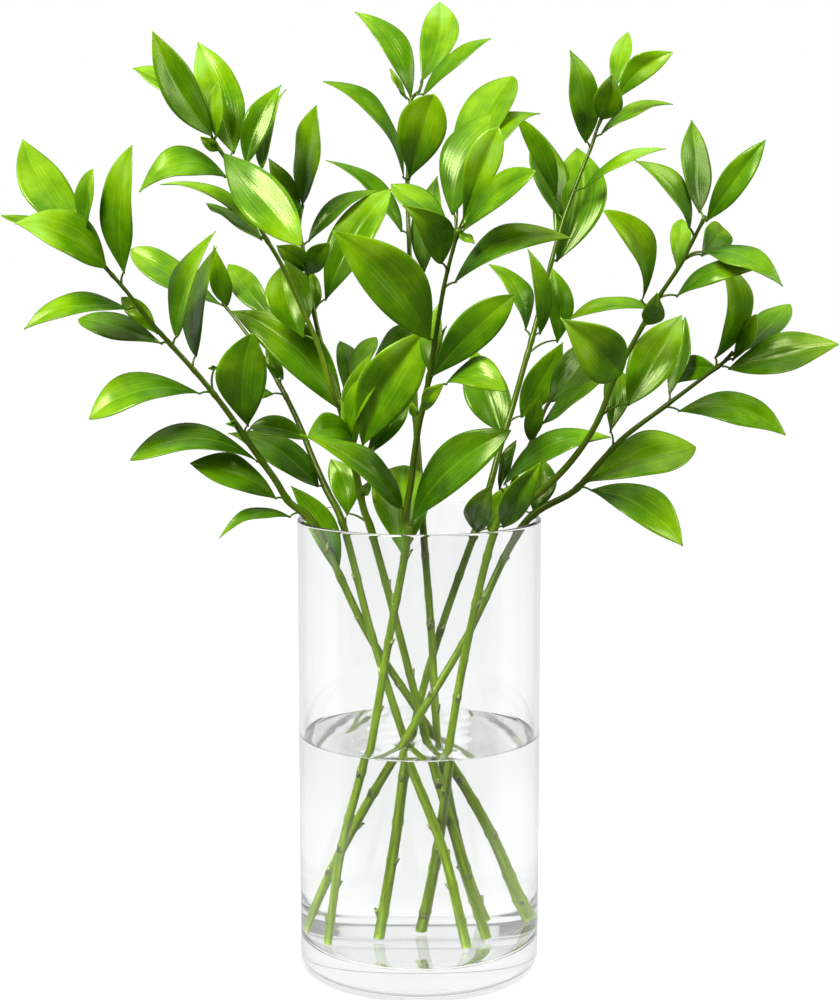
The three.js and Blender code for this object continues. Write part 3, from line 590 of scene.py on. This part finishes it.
GLASS = clear_material("clear_glass", (0.975, 0.985, 0.98), 1.5)
WATER = clear_material("clear_water", (0.99, 0.995, 0.995), 1.333)
LEAF_UPPER = leaf_material("ruscus_leaf_upper", True)
LEAF_UNDER = leaf_material("ruscus_leaf_under", False)
STEM_SKIN = stem_material()
CUT_END = plain_material("ruscus_cut_end", CUT_COLOUR, STEM_LIGHT, 0.7, 900.0)
SCAR = plain_material("ruscus_scar", SCAR_COLOUR, STEM_DEEP, 0.6, 700.0)


# ---------------------------------------------------------------- layout


def place(x, z, depth):
    """A point of the front elevation at a depth, in metres."""
    scale = (EYE_DISTANCE + depth) / EYE_DISTANCE
    return Vector((x * scale, depth, EYE_HEIGHT + (z - EYE_HEIGHT) * scale)) * MM


def seen(point):
    """Where a point is seen in the front elevation, in millimetres."""
    scale = (EYE_DISTANCE + point.y / MM) / EYE_DISTANCE
    return Vector((point.x / MM / scale, EYE_HEIGHT + (point.z / MM - EYE_HEIGHT) / scale))


def smooth_line(points, count):
    """Points at equal steps along a smooth curve through the given points."""
    ends = [points[0] * 2 - points[1], *points, points[-1] * 2 - points[-2]]
    fine = []
    for p0, p1, p2, p3 in zip(ends, ends[1:], ends[2:], ends[3:]):
        d0, d1, d2 = ((b - a).length ** 0.5 for a, b in ((p0, p1), (p1, p2), (p2, p3)))
        t1 = ((p1 - p0) / d0 - (p2 - p0) / (d0 + d1) + (p2 - p1) / d1) * d1
        t2 = ((p2 - p1) / d1 - (p3 - p1) / (d1 + d2) + (p3 - p2) / d2) * d1
        for i in range(24):
            t = i / 24
            fine.append(
                p1 * (2 * t**3 - 3 * t**2 + 1)
                + t1 * (t**3 - 2 * t**2 + t)
                + p2 * (3 * t**2 - 2 * t**3)
                + t2 * (t**3 - t**2)
            )
    fine.append(points[-1])
    travelled = [0.0]
    for a, b in zip(fine, fine[1:]):
        travelled.append(travelled[-1] + (b - a).length)
    line = []
    i = 0
    for step in range(count + 1):
        wanted = travelled[-1] * step / count
        while i < len(fine) - 2 and travelled[i + 1] < wanted:
            i += 1
        span = travelled[i + 1] - travelled[i]
        line.append(fine[i].lerp(fine[i + 1], min(1.0, (wanted - travelled[i]) / span)))
    return line


def line_length(line):
    return sum((b - a).length for a, b in zip(line, line[1:]))


def nearest_sample(line, x, z):
    """The number of the sample seen nearest to a point of the elevation, and how far it is, in mm."""
    target = Vector((x, z))
    away = [(seen(point) - target).length for point in line]
    nearest = away.index(min(away))
    return nearest, away[nearest]


# ---------------------------------------------------------------- meshes


def new_piece(name, mesh_bmesh, materials, node_name):
    """A finished piece from a bmesh: it rides on the part's body and stands for its CAD node."""
    mesh = bpy.data.meshes.new(name)
    mesh_bmesh.to_mesh(mesh)
    mesh_bmesh.free()
    for material in materials:
        mesh.materials.append(material)
    piece = bpy.data.objects.new(name, mesh)
    bpy.context.scene.collection.objects.link(piece)
    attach(piece, BODY)
    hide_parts(node_name)
    return piece


def ring_frames(line):
    """A tangent and two directions across for each point, which keep their turn along the line."""
    frames = []
    across = Vector((1, 0, 0))
    for i, point in enumerate(line):
        before = line[max(0, i - 1)]
        after = line[min(len(line) - 1, i + 1)]
        along = (after - before).normalized()
        across = (across - along * across.dot(along)).normalized()
        frames.append((point, along, across, along.cross(across)))
    return frames


def add_bar(mesh, line, radius_at, sides, age_at, end_index):
    """A round bar: one circle, drawn out along the line. radius_at and age_at take a share 0..1."""
    uv = uv_layer(mesh)
    age = mesh.verts.layers.float.get("age") or mesh.verts.layers.float.new("age")
    length = line_length(line)
    frames = ring_frames(line)
    ring = bmesh.ops.create_circle(mesh, segments=sides, radius=1.0)["verts"]
    ring.sort(key=lambda vert: math.atan2(vert.co.y, vert.co.x))
    unit = [vert.co.copy() for vert in ring]

    def shape(verts, i):
        point, _, across, up = frames[i]
        share = i / (len(frames) - 1)
        for number, (vert, flat) in enumerate(zip(verts, unit)):
            angle = 2 * math.pi * number / sides
            radius = radius_at(share, angle)
            vert.co = point + across * (flat.x * radius) + up * (flat.y * radius)
            vert[age] = age_at(share)

    shape(ring, 0)
    first = ring
    for i in range(1, len(frames)):
        edges = [mesh.edges.get((a, b)) for a, b in zip(ring, ring[1:] + ring[:1])]
        made = bmesh.ops.extrude_edge_only(mesh, edges=edges)["geom"]
        fresh = [part for part in made if isinstance(part, bmesh.types.BMVert)]
        linked = {}
        for vert in fresh:
            for edge in vert.link_edges:
                other = edge.other_vert(vert)
                if other in ring:
                    linked[other] = vert
        following = [linked[vert] for vert in ring]
        shape(following, i)
        share_low = (i - 1) / (len(frames) - 1)
        share_high = i / (len(frames) - 1)
        for number in range(sides):
            a, b = ring[number], ring[(number + 1) % sides]
            c, d = following[(number + 1) % sides], following[number]
            face = mesh.faces.get((a, b, c, d))
            places = {
                a: (number, share_low),
                b: (number + 1, share_low),
                c: (number + 1, share_high),
                d: (number, share_high),
            }
            for loop in face.loops:
                turn, share = places[loop.vert]
                loop[uv].uv = (turn / sides, share * length / UV_METRE)
            face.smooth = True
        ring = following
    for verts, material_index in ((first, end_index), (ring, 0)):
        cap = mesh.faces.new(verts)
        cap.material_index = material_index
    return first, ring


UV_METRE = 0.05


def uv_layer(mesh):
    return mesh.loops.layers.uv.get("UVMap") or mesh.loops.layers.uv.new("UVMap")


def blade_half(share, peak):
    """A blade's half width along its length, as a share of its widest, which is at the peak."""
    rise = BLADE_TAPER * peak
    fall = BLADE_TAPER - rise
    return (share / peak) ** rise * ((1 - share) / (1 - peak)) ** fall


def add_leaf(mesh, base, tip, width, turn, bow, peak, sway, tone, draw):
    """One blade: a grid bent to the leaf's form, then given its thickness and its two faces."""
    uv = uv_layer(mesh)
    tone_layer = mesh.verts.layers.float.get("tone") or mesh.verts.layers.float.new("tone")
    along = tip - base
    length = along.length
    along.normalize()
    front = Vector((0, -1, 0)) + along * along.y
    front.normalize()
    side = along.cross(front)
    if side.z < 0:
        side.negate()
    angle = math.radians(turn)
    face = front * math.cos(angle) + side * math.sin(angle)
    across = along.cross(face)
    twist = draw.uniform(-0.25, 0.25)
    fold = LEAF_FOLD * draw.uniform(0.2, 1.3)
    curl = draw.uniform(0.01, 0.06) * length
    uneven = draw.uniform(-0.07, 0.07)
    phases = [draw.uniform(0, 2 * math.pi) for _ in range(4)]
    waves = draw.uniform(1.0, 1.7)
    flutter = draw.uniform(0.03, 0.08)

    grid = bmesh.ops.create_grid(mesh, x_segments=LEAF_STEPS, y_segments=LEAF_COLUMNS, size=0.5)
    places = {}
    for vert in grid["verts"]:
        even = vert.co.x + 0.5
        out = vert.co.y * 2
        share = 0.5 - 0.5 * math.cos(math.pi * (0.03 + 0.965 * even))
        share = 0.55 * share + 0.45 * even
        places[vert] = (share, out)
        half = width / 2 * blade_half(min(0.999, max(0.001, share)), peak)
        half = max(MUCRO_HALF if share > 0.5 else STALK_END_RADIUS * 0.9, half)
        half *= 1 + uneven * out * math.sin(math.pi * share)
        rib = base + along * (length * share)
        rib += face * (bow * 4 * share * (1 - share) + curl * (share**2 - share**4))
        rib += across * (sway * 4 * share * (1 - share))
        turned_by = twist * (share - 0.4)
        out_way = across * math.cos(turned_by) + face * math.sin(turned_by)
        up_way = face * math.cos(turned_by) - across * math.sin(turned_by)
        ripple = math.sin(2 * math.pi * waves * share + phases[0 if out > 0 else 1])
        lift = half * (fold * (abs(out) - 0.42 * out * out) + flutter * out * out * ripple)
        swell = math.sin(2 * math.pi * 1.6 * share + phases[2]) * math.cos(2.6 * out + phases[3])
        lift += SWELL * swell * half / (width / 2)
        lift -= RIB_GROOVE * math.exp(-((out * half / RIB_WIDTH) ** 2))
        vert.co = rib + out_way * (out * half) + up_way * lift
        vert[tone_layer] = tone
    faces = {part for vert in grid["verts"] for part in vert.link_faces}
    for part in faces:
        part.normal_update()
        if part.normal.dot(face) < 0:
            part.normal_flip()
        for loop in part.loops:
            share, out = places[loop.vert]
            loop[uv].uv = (share, out / 2 + 0.5)
    made = bmesh.ops.solidify(mesh, geom=list(faces), thickness=LEAF_THICKNESS)
    shell = {part for part in made["geom"] if isinstance(part, bmesh.types.BMFace)} | faces
    for vert in list(places):
        shell.update(vert.link_faces)
    for part in shell:
        part.normal_update()
        part.smooth = True
        part.material_index = 0 if part.normal.dot(face) > 0 else 1


def bezier(a, b, c, steps):
    return [a.lerp(b, i / steps).lerp(b.lerp(c, i / steps), i / steps) for i in range(steps + 1)]


def add_stalk(mesh, root, base, tip, shoot_way, age):
    """The short stalk: it leaves along the shoot and bends into the blade."""
    blade_way = (tip - base).normalized()
    gap = (base - root).length
    knee = root + shoot_way * (gap * 0.35) + (base - root) * 0.35
    line = bezier(root, knee, base + blade_way * (1.6 * MM), STALK_STEPS)

    def radius_at(share, _):
        return STALK_ROOT_RADIUS + (STALK_END_RADIUS - STALK_ROOT_RADIUS) * share

    add_bar(mesh, line, radius_at, STALK_SIDES, lambda share: age * (1 - share), 0)


def add_scar(mesh, point, out_way, along, size, age_layer_value):
    """A small bud scale that hugs the stem and points up along it."""
    age = mesh.verts.layers.float.get("age") or mesh.verts.layers.float.new("age")
    made = bmesh.ops.create_cone(
        mesh, cap_ends=True, segments=7, radius1=size * 0.62, radius2=size * 0.12, depth=size * 1.7
    )["verts"]
    lean = (along * 1.0 + out_way * 0.7).normalized()
    sideways = along.cross(out_way).normalized()
    outward = sideways.cross(lean).normalized()
    turn = Matrix((sideways, outward, lean)).transposed().to_4x4()
    turn.translation = point
    bmesh.ops.transform(mesh, matrix=turn, verts=made)
    for vert in made:
        vert[age] = age_layer_value
    for part in {face for vert in made for face in vert.link_faces}:
        part.material_index = 2
        part.smooth = True


# ---------------------------------------------------------------- stems and leaves


def stem_points(stem):
    inside = [Vector((x * MM, y * MM, z)) for (x, y), z in zip(stem["inside"], INSIDE_LEVELS)]
    return [*inside, *(place(*point) for point in stem["route"])]


def leaf_places(line, row):
    """Where a leaf's stalk leaves the shoot, where its blade starts and ends, and the shoot's way."""
    base_x, base_z, tip_x, tip_z, lean = row[:5]
    nearest, distance = nearest_sample(line, base_x, base_z)
    spacing = line_length(line) / MM / (len(line) - 1)
    number = max(1, nearest - round(STALK_SLOPE * distance / spacing))
    root = line[number]
    depth = root.y / MM
    base = place(base_x, base_z, depth + BASE_LEAN * lean)
    tip = place(tip_x, tip_z, depth + lean)
    way = (line[min(number + 1, len(line) - 1)] - line[number - 1]).normalized()
    return number, root, base, tip, way


def build_shoot(mesh, blades, line, rows, radius_at_share, number, end_index, foliage_from):
    nodes = []
    for i, row in enumerate(rows):
        draw = random.Random(1000 * number + i)
        sample, root, base, tip, way = leaf_places(line, row)
        nodes.append(sample / (len(line) - 1))
        width, turn, bow, peak, sway = row[5] * MM, row[6], row[7] * MM, row[8], row[9] * MM
        youth = min(1, max(0, (base.z - OLD_HEIGHT) / (YOUNG_HEIGHT - OLD_HEIGHT)))
        tone = OLD_TONE + (YOUNG_TONE - OLD_TONE) * youth + draw.uniform(-TONE_DRIFT, TONE_DRIFT)
        add_leaf(blades, base, tip, width, turn, bow, peak, sway, tone, draw)
        add_stalk(mesh, root, base, tip, way, 0.5)
    length = line_length(line)
    steps = max(4, round(length / STEM_STEP))
    fine = [line[round(i * (len(line) - 1) / steps)] for i in range(steps + 1)]
    draw = random.Random(77 + number)
    scars = []
    position = 16 * MM
    turn = draw.uniform(0, 2 * math.pi)
    while foliage_from > 0 and position < length * foliage_from:
        scars.append((position / length, turn))
        position += SCAR_SPACING * draw.uniform(0.6, 1.5)
        turn += math.pi * draw.uniform(0.75, 1.25)
    nodes += [share for share, _ in scars]

    def radius_at(share, angle):
        radius = radius_at_share(share)
        for at in nodes:
            away = (share - at) * length / NODE_REACH
            if abs(away) < 3:
                radius *= 1 + NODE_SWELL * 0.6 * math.exp(-away * away)
        return radius * (1 + 0.025 * math.cos(5 * angle))

    def age_at(share):
        return max(0.0, min(1.0, 1.15 - 1.3 * share))

    add_bar(mesh, fine, radius_at, STEM_SIDES, age_at, end_index)
    frames = ring_frames(fine)
    for share, angle in scars:
        point, along, across, up = frames[round(share * steps)]
        out_way = across * math.cos(angle) + up * math.sin(angle)
        radius = radius_at_share(share)
        size = draw.uniform(2.8, 4.2) * MM
        add_scar(mesh, point + out_way * (radius * 0.92), out_way, along, size, age_at(share))


def build_stem(number, stem):
    name = f"ruscus_stem_{number}"
    line = smooth_line(stem_points(stem), SAMPLES)
    lip_share = next(i for i, point in enumerate(line) if point.z > VASE_HEIGHT) / SAMPLES
    mesh, blades = bmesh.new(), bmesh.new()

    def main_radius(share):
        if share < lip_share:
            return CUT_RADIUS + (LIP_RADIUS - CUT_RADIUS) * share / lip_share
        return LIP_RADIUS + (TIP_RADIUS - LIP_RADIUS) * (share - lip_share) / (1 - lip_share)

    build_shoot(mesh, blades, line, stem["leaves"], main_radius, number, 1, lip_share)
    if "branch" in stem:
        fork, *route = stem["branch"]["route"]
        nearest, _ = nearest_sample(line, fork[0], fork[1])
        points = [line[nearest], *(place(*point) for point in route)]
        branch = smooth_line(points, SAMPLES)

        def branch_radius(share):
            return FORK_RADIUS + (TIP_RADIUS - FORK_RADIUS) * share

        rows = stem["branch"]["leaves"]
        build_shoot(mesh, blades, branch, rows, branch_radius, number + 10, 0, 0.0)
    new_piece(f"{name}_shoot", mesh, [STEM_SKIN, CUT_END, SCAR], name)
    new_piece(f"{name}_leaves", blades, [LEAF_UPPER, LEAF_UNDER], name)


# ---------------------------------------------------------------- vase and water


def arc(centre_x, centre_z, radius, start, end, steps):
    """Points of an arc in the x-z plane, from one angle to another, in degrees."""
    points = []
    for i in range(steps + 1):
        angle = math.radians(start + (end - start) * i / steps)
        x = centre_x + radius * math.cos(angle)
        z = centre_z + radius * math.sin(angle)
        points.append(Vector((x, 0, z)))
    return points


def supported(profile):
    """The profile with extra points near the ends of its long edges, so that flats shade flat."""
    points = [profile[0]]
    for a, b in zip(profile, profile[1:]):
        length = (b - a).length
        if length > 3 * SUPPORT:
            middles = max(1, round(length / SUPPORT_STEP))
            shares = [SUPPORT / length, *((i + 0.5) / middles for i in range(middles))]
            points += [a.lerp(b, share) for share in (*shares, 1 - SUPPORT / length)]
        points.append(b)
    return points


def turned(profile):
    """A closed body spun round the vase's axis from a profile that starts and ends on it."""
    mesh = bmesh.new()
    verts = [mesh.verts.new(point) for point in supported(profile)]
    edges = [mesh.edges.new(pair) for pair in zip(verts, verts[1:])]
    bmesh.ops.spin(
        mesh,
        geom=verts + edges,
        cent=(0, 0, 0),
        axis=(0, 0, 1),
        angle=2 * math.pi,
        steps=TURN_STEPS,
        use_merge=True,
    )
    bmesh.ops.remove_doubles(mesh, verts=mesh.verts[:], dist=0.001 * MM)
    bmesh.ops.recalc_face_normals(mesh, faces=mesh.faces[:])
    for face in mesh.faces:
        face.smooth = True
    for edge in mesh.edges:
        edge.smooth = edge.calc_face_angle() < SHARP_ANGLE
    return mesh


SUPPORT = 0.5 * MM
SUPPORT_STEP = 16 * MM
SHARP_ANGLE = math.radians(38)


def build_vase():
    inner = VASE_RADIUS - WALL
    lip = VASE_HEIGHT - LIP_ROUND
    profile = [
        Vector((0, 0, 0)),
        *arc(FOOT_RADIUS, FOOT_ROUND, FOOT_ROUND, -90, 0, 12),
        *arc(VASE_RADIUS - LIP_ROUND, lip, LIP_ROUND, 0, 90, 6),
        *arc(inner + LIP_ROUND, lip, LIP_ROUND, 90, 180, 6),
        *arc(inner - FLOOR_ROUND, BASE_THICKNESS + FLOOR_ROUND, FLOOR_ROUND, 0, -90, 10),
        Vector((0, 0, BASE_THICKNESS)),
    ]
    new_piece("glass_vase", turned(profile), [GLASS], "vase")


SURFACE_RINGS = 64
RIPPLE = 0.05 * MM
STEM_RISE = 1.5 * MM
STEM_REACH = 1.3 * MM


def off_the_surface(point):
    return abs(point.z - WATER_LEVEL)


def build_water():
    """Still water that wets the glass, with its raised edge where it meets the wall."""
    radius = VASE_RADIUS - WALL + WATER_OVERLAP
    bottom = BASE_THICKNESS - WATER_OVERLAP
    rim = []
    for i in range(9):
        share = i / 8
        rim.append(
            Vector((
                radius - MENISCUS_REACH * share,
                0,
                WATER_LEVEL + MENISCUS_RISE * (1 - share) ** 2.4,
            ))
        )
    still = radius - MENISCUS_REACH
    rings = [Vector((still * (1 - i / SURFACE_RINGS), 0, WATER_LEVEL)) for i in range(1, SURFACE_RINGS)]
    profile = [
        Vector((0, 0, bottom)),
        *arc(radius - FLOOR_ROUND, bottom + FLOOR_ROUND, FLOOR_ROUND, -90, 0, 10),
        *rim,
        *rings,
        Vector((0, 0, WATER_LEVEL)),
    ]
    mesh = turned(profile)
    crossings = [min(smooth_line(stem_points(stem), SAMPLES), key=off_the_surface) for stem in STEMS]
    draw = random.Random(7)
    waves = []
    for _ in range(5):
        heading = draw.uniform(0, 2 * math.pi)
        wave_length = draw.uniform(14, 30) * MM
        pace = Vector((math.cos(heading), math.sin(heading), 0)) * (2 * math.pi / wave_length)
        waves.append((pace, draw.uniform(0, 2 * math.pi)))
    for vert in mesh.verts:
        out = math.hypot(vert.co.x, vert.co.y)
        if abs(vert.co.z - WATER_LEVEL) > 0.01 * MM or out > still:
            continue
        calm = 1 - (out / still) ** 4
        lift = sum(RIPPLE * math.sin(vert.co.dot(pace) + phase) for pace, phase in waves) * calm
        for crossing in crossings:
            gap = math.hypot(vert.co.x - crossing.x, vert.co.y - crossing.y) - CUT_RADIUS
            lift += STEM_RISE * math.exp(-max(0, gap) / STEM_REACH)
        vert.co.z += lift
    new_piece("vase_water", mesh, [WATER], "water")


build_vase()
build_water()
for index, each_stem in enumerate(STEMS):
    build_stem(index + 1, each_stem)


# ---------------------------------------------------------------- studio

FLOOR_SIZE = 12.0
KEY_PLACE = Vector((-1.1, -1.5, 2.0))
KEY_SIZE = 1.15
KEY_POWER = 124
FILL_PLACE = Vector((1.7, -0.6, 1.3))
FILL_SIZE = 1.2
FILL_POWER = 28
LIGHT_TARGET = Vector((0, 0, 0.35))
BOUNCES = 24

# How bright the stage is for soft reflections, for falling light, and for mirror reflections.
BACK_GLOSS = 0.1
LEFT_GLOSS = 0.65
RIGHT_GLOSS = 0.4
TOP_GLOSS = 1.3
LIGHT_LEVEL = 0.07
BACK_LIGHT = 0.35
LIGHT_RISE = 0.45
MIRROR_LEVEL = 0.62
MIRROR_FRONT = 0.04
MIRROR_HIGH = 0.38
MIRROR_FLOOR = 0.68
GLASS_LEVEL = 0.94
FLOOR_GAP = 0.4 * MM
CONTACT_SHADE = 0.3
FOOT_SHADE = 0.45
FLOOR_COLOUR = (0.1, 0.1, 0.1)
FLOOR_SEEN = 0.98
FLOOR_GLOSS = 0.02
FLOOR_LIGHT = 0.05
SIDE_SHADE = 0.42
STEEP_SHADE = 0.6

# Where each soft edge of the stage starts and ends: in directions of the world, in metres on the
# floor, and for the foot's shadows in radii of the foot and of the vase.
STEEP_EDGE = (0.45, 0.8)
SIDE_EDGE = (0.7, 0.95)
MIRROR_HIGH_EDGE = (0.14, 0.3)
MIRROR_BACK_EDGE = (-0.7, 0.2)
MIRROR_FLOOR_EDGE = (-0.24, -0.09)
UPWARD_EDGE = (-0.1, 1.0)
BACK_GLOSS_EDGE = (0.15, 0.75)
LEFT_GLOSS_EDGE = (0.5, 0.8)
RIGHT_GLOSS_EDGE = (0.55, 0.85)
TOP_GLOSS_EDGE = (0.72, 0.92)
RAISED_EDGE = (-0.35, 0.05)
BACK_LIGHT_EDGE = (0.3, 0.9)
CONTACT_INNER = (FOOT_RADIUS * 0.9, FOOT_RADIUS * 0.98)
CONTACT_OUTER = (VASE_RADIUS, VASE_RADIUS * 1.15)
FOOT_INNER = (FOOT_RADIUS * 0.95, FOOT_RADIUS)
FOOT_OUTER = (FOOT_RADIUS * 1.04, VASE_RADIUS * 1.04)


def by_path(tree, seen, mirror, gloss, light):
    """A brightness for what the eye sees straight or through glass and water, for mirror
    reflections in them, for soft reflections, and for the light that falls on the pieces."""
    diffuse = node(tree, "ShaderNodeLightPath", output="Diffuse Depth").math("MINIMUM", 1)
    glossy = node(tree, "ShaderNodeLightPath", output="Glossy Depth").math("MINIMUM", 1)
    sharp = node(tree, "ShaderNodeLightPath", output="Is Singular Ray")
    reflected = sharp * mirror + (1 - sharp) * gloss
    clear = glossy * reflected + (1 - glossy) * seen
    return diffuse * light + (1 - diffuse) * clear


def through_glass(tree):
    """1 for what is seen through glass, and 0 for what is seen straight."""
    return node(tree, "ShaderNodeLightPath", output="Transmission Depth").math("MINIMUM", 1)


def build_floor():
    mesh = bmesh.new()
    bmesh.ops.create_grid(mesh, x_segments=1, y_segments=1, size=FLOOR_SIZE / 2)
    data = bpy.data.meshes.new("studio_floor")
    mesh.to_mesh(data)
    mesh.free()
    material, tree = new_material("studio_white")
    soft = node(tree, "ShaderNodeBsdfDiffuse", {}, {"Color": FLOOR_COLOUR})
    radius = node(tree, "ShaderNodeVectorMath", {"operation": "LENGTH"}, [object_vector(tree)], 1)
    contact = soft_step(tree, radius, *CONTACT_INNER)
    contact = contact * (1 - soft_step(tree, radius, *CONTACT_OUTER))
    seen = FLOOR_SEEN - through_glass(tree) * (1 - GLASS_LEVEL + contact * CONTACT_SHADE)
    ring = soft_step(tree, radius, *FOOT_INNER)
    ring = ring * (1 - soft_step(tree, radius, *FOOT_OUTER))
    seen = seen - ring * FOOT_SHADE
    deep = node(tree, "ShaderNodeSeparateXYZ", {}, [object_vector(tree)], 1)
    mirror = MIRROR_FRONT + soft_step(tree, deep, *MIRROR_FLOOR_EDGE) * (MIRROR_FLOOR - MIRROR_FRONT)
    glow = by_path(tree, seen, mirror, FLOOR_GLOSS, FLOOR_LIGHT)
    light = node(tree, "ShaderNodeEmission", {}, {"Color": (1, 1, 1), "Strength": glow})
    finish_material(tree, node(tree, "ShaderNodeAddShader", {}, [soft, light]))
    data.materials.append(material)
    floor = bpy.data.objects.new("studio_floor", data)
    floor.location.z = -FLOOR_GAP
    bpy.context.scene.collection.objects.link(floor)


def build_world():
    """White all round for the eye, with grey cards that only glass and gloss show."""
    world = bpy.data.worlds.new("studio")
    bpy.context.scene.world = world
    world.use_nodes = True
    tree = world.node_tree
    tree.nodes.clear()
    direction = node(tree, "ShaderNodeTexCoord", output="Generated")
    parts = node(tree, "ShaderNodeSeparateXYZ", {}, [direction])
    y = Socket(tree, parts.socket.node.outputs[1])
    z = Socket(tree, parts.socket.node.outputs[2])
    steep = soft_step(tree, abs(z), *STEEP_EDGE)
    beside = soft_step(tree, abs(parts), *SIDE_EDGE)
    dimmed = through_glass(tree) * (1 - GLASS_LEVEL + beside * SIDE_SHADE)
    through = (1 - steep * STEEP_SHADE) * (1 - dimmed)
    behind = MIRROR_LEVEL - MIRROR_FRONT + soft_step(tree, z, *MIRROR_HIGH_EDGE) * MIRROR_HIGH
    mirror = MIRROR_FRONT + soft_step(tree, y, *MIRROR_BACK_EDGE) * behind
    upward = soft_step(tree, z, *UPWARD_EDGE)
    back = soft_step(tree, y, *BACK_GLOSS_EDGE) * BACK_GLOSS
    left = soft_step(tree, 0 - parts, *LEFT_GLOSS_EDGE) * LEFT_GLOSS
    right = soft_step(tree, parts, *RIGHT_GLOSS_EDGE) * RIGHT_GLOSS
    top = soft_step(tree, z, *TOP_GLOSS_EDGE) * TOP_GLOSS
    raised = soft_step(tree, z, *RAISED_EDGE)
    for_gloss = back + raised * (left + right) + top
    from_back = soft_step(tree, y, *BACK_LIGHT_EDGE) * BACK_LIGHT
    for_light = LIGHT_LEVEL + upward * LIGHT_RISE + from_back
    strength = by_path(tree, through, mirror, for_gloss, for_light)
    background = node(tree, "ShaderNodeBackground", {}, {"Color": (1, 1, 1), "Strength": strength})
    output = tree.nodes.new("ShaderNodeOutputWorld")
    tree.links.new(background.socket, output.inputs["Surface"])


def build_light(name, where, size, power, blockers):
    """A round soft light that shines through glass and water: only the stems stop it."""
    light = bpy.data.lights.new(name, "AREA")
    light.shape = "DISK"
    light.size = size
    light.energy = power
    lamp = bpy.data.objects.new(name, light)
    lamp.location = where
    lamp.rotation_euler = (LIGHT_TARGET - where).to_track_quat("-Z", "Y").to_euler()
    lamp.light_linking.blocker_collection = blockers
    lamp.visible_transmission = False
    bpy.context.scene.collection.objects.link(lamp)


CAMERA_PLACE = Vector((0.00044, -1.1, 0.41925))
CAMERA_DIP = 7.58
CAMERA_LENS = 69.564
CAMERA_SENSOR = 36.0


def build_camera():
    data = bpy.data.cameras.new("camera")
    data.sensor_fit = "VERTICAL"
    data.sensor_height = CAMERA_SENSOR
    data.lens = CAMERA_LENS
    data.clip_start = 0.05
    data.clip_end = 50
    camera = bpy.data.objects.new("camera", data)
    camera.location = CAMERA_PLACE
    camera.rotation_euler = (math.radians(90 - CAMERA_DIP), 0, 0)
    bpy.context.scene.collection.objects.link(camera)
    bpy.context.scene.camera = camera


build_floor()
build_world()
greenery = bpy.data.collections.new("greenery")
for piece in bpy.context.scene.objects:
    if piece.name.startswith("ruscus_stem_") and piece.name.endswith(("_shoot", "_leaves")):
        greenery.objects.link(piece)
build_light("key", KEY_PLACE, KEY_SIZE, KEY_POWER, greenery)
build_light("fill", FILL_PLACE, FILL_SIZE, FILL_POWER, greenery)
build_camera()
bpy.context.scene.view_settings.view_transform = "Standard"
bpy.context.scene.cycles.max_bounces = BOUNCES
bpy.context.scene.cycles.glossy_bounces = BOUNCES
bpy.context.scene.cycles.transmission_bounces = BOUNCES
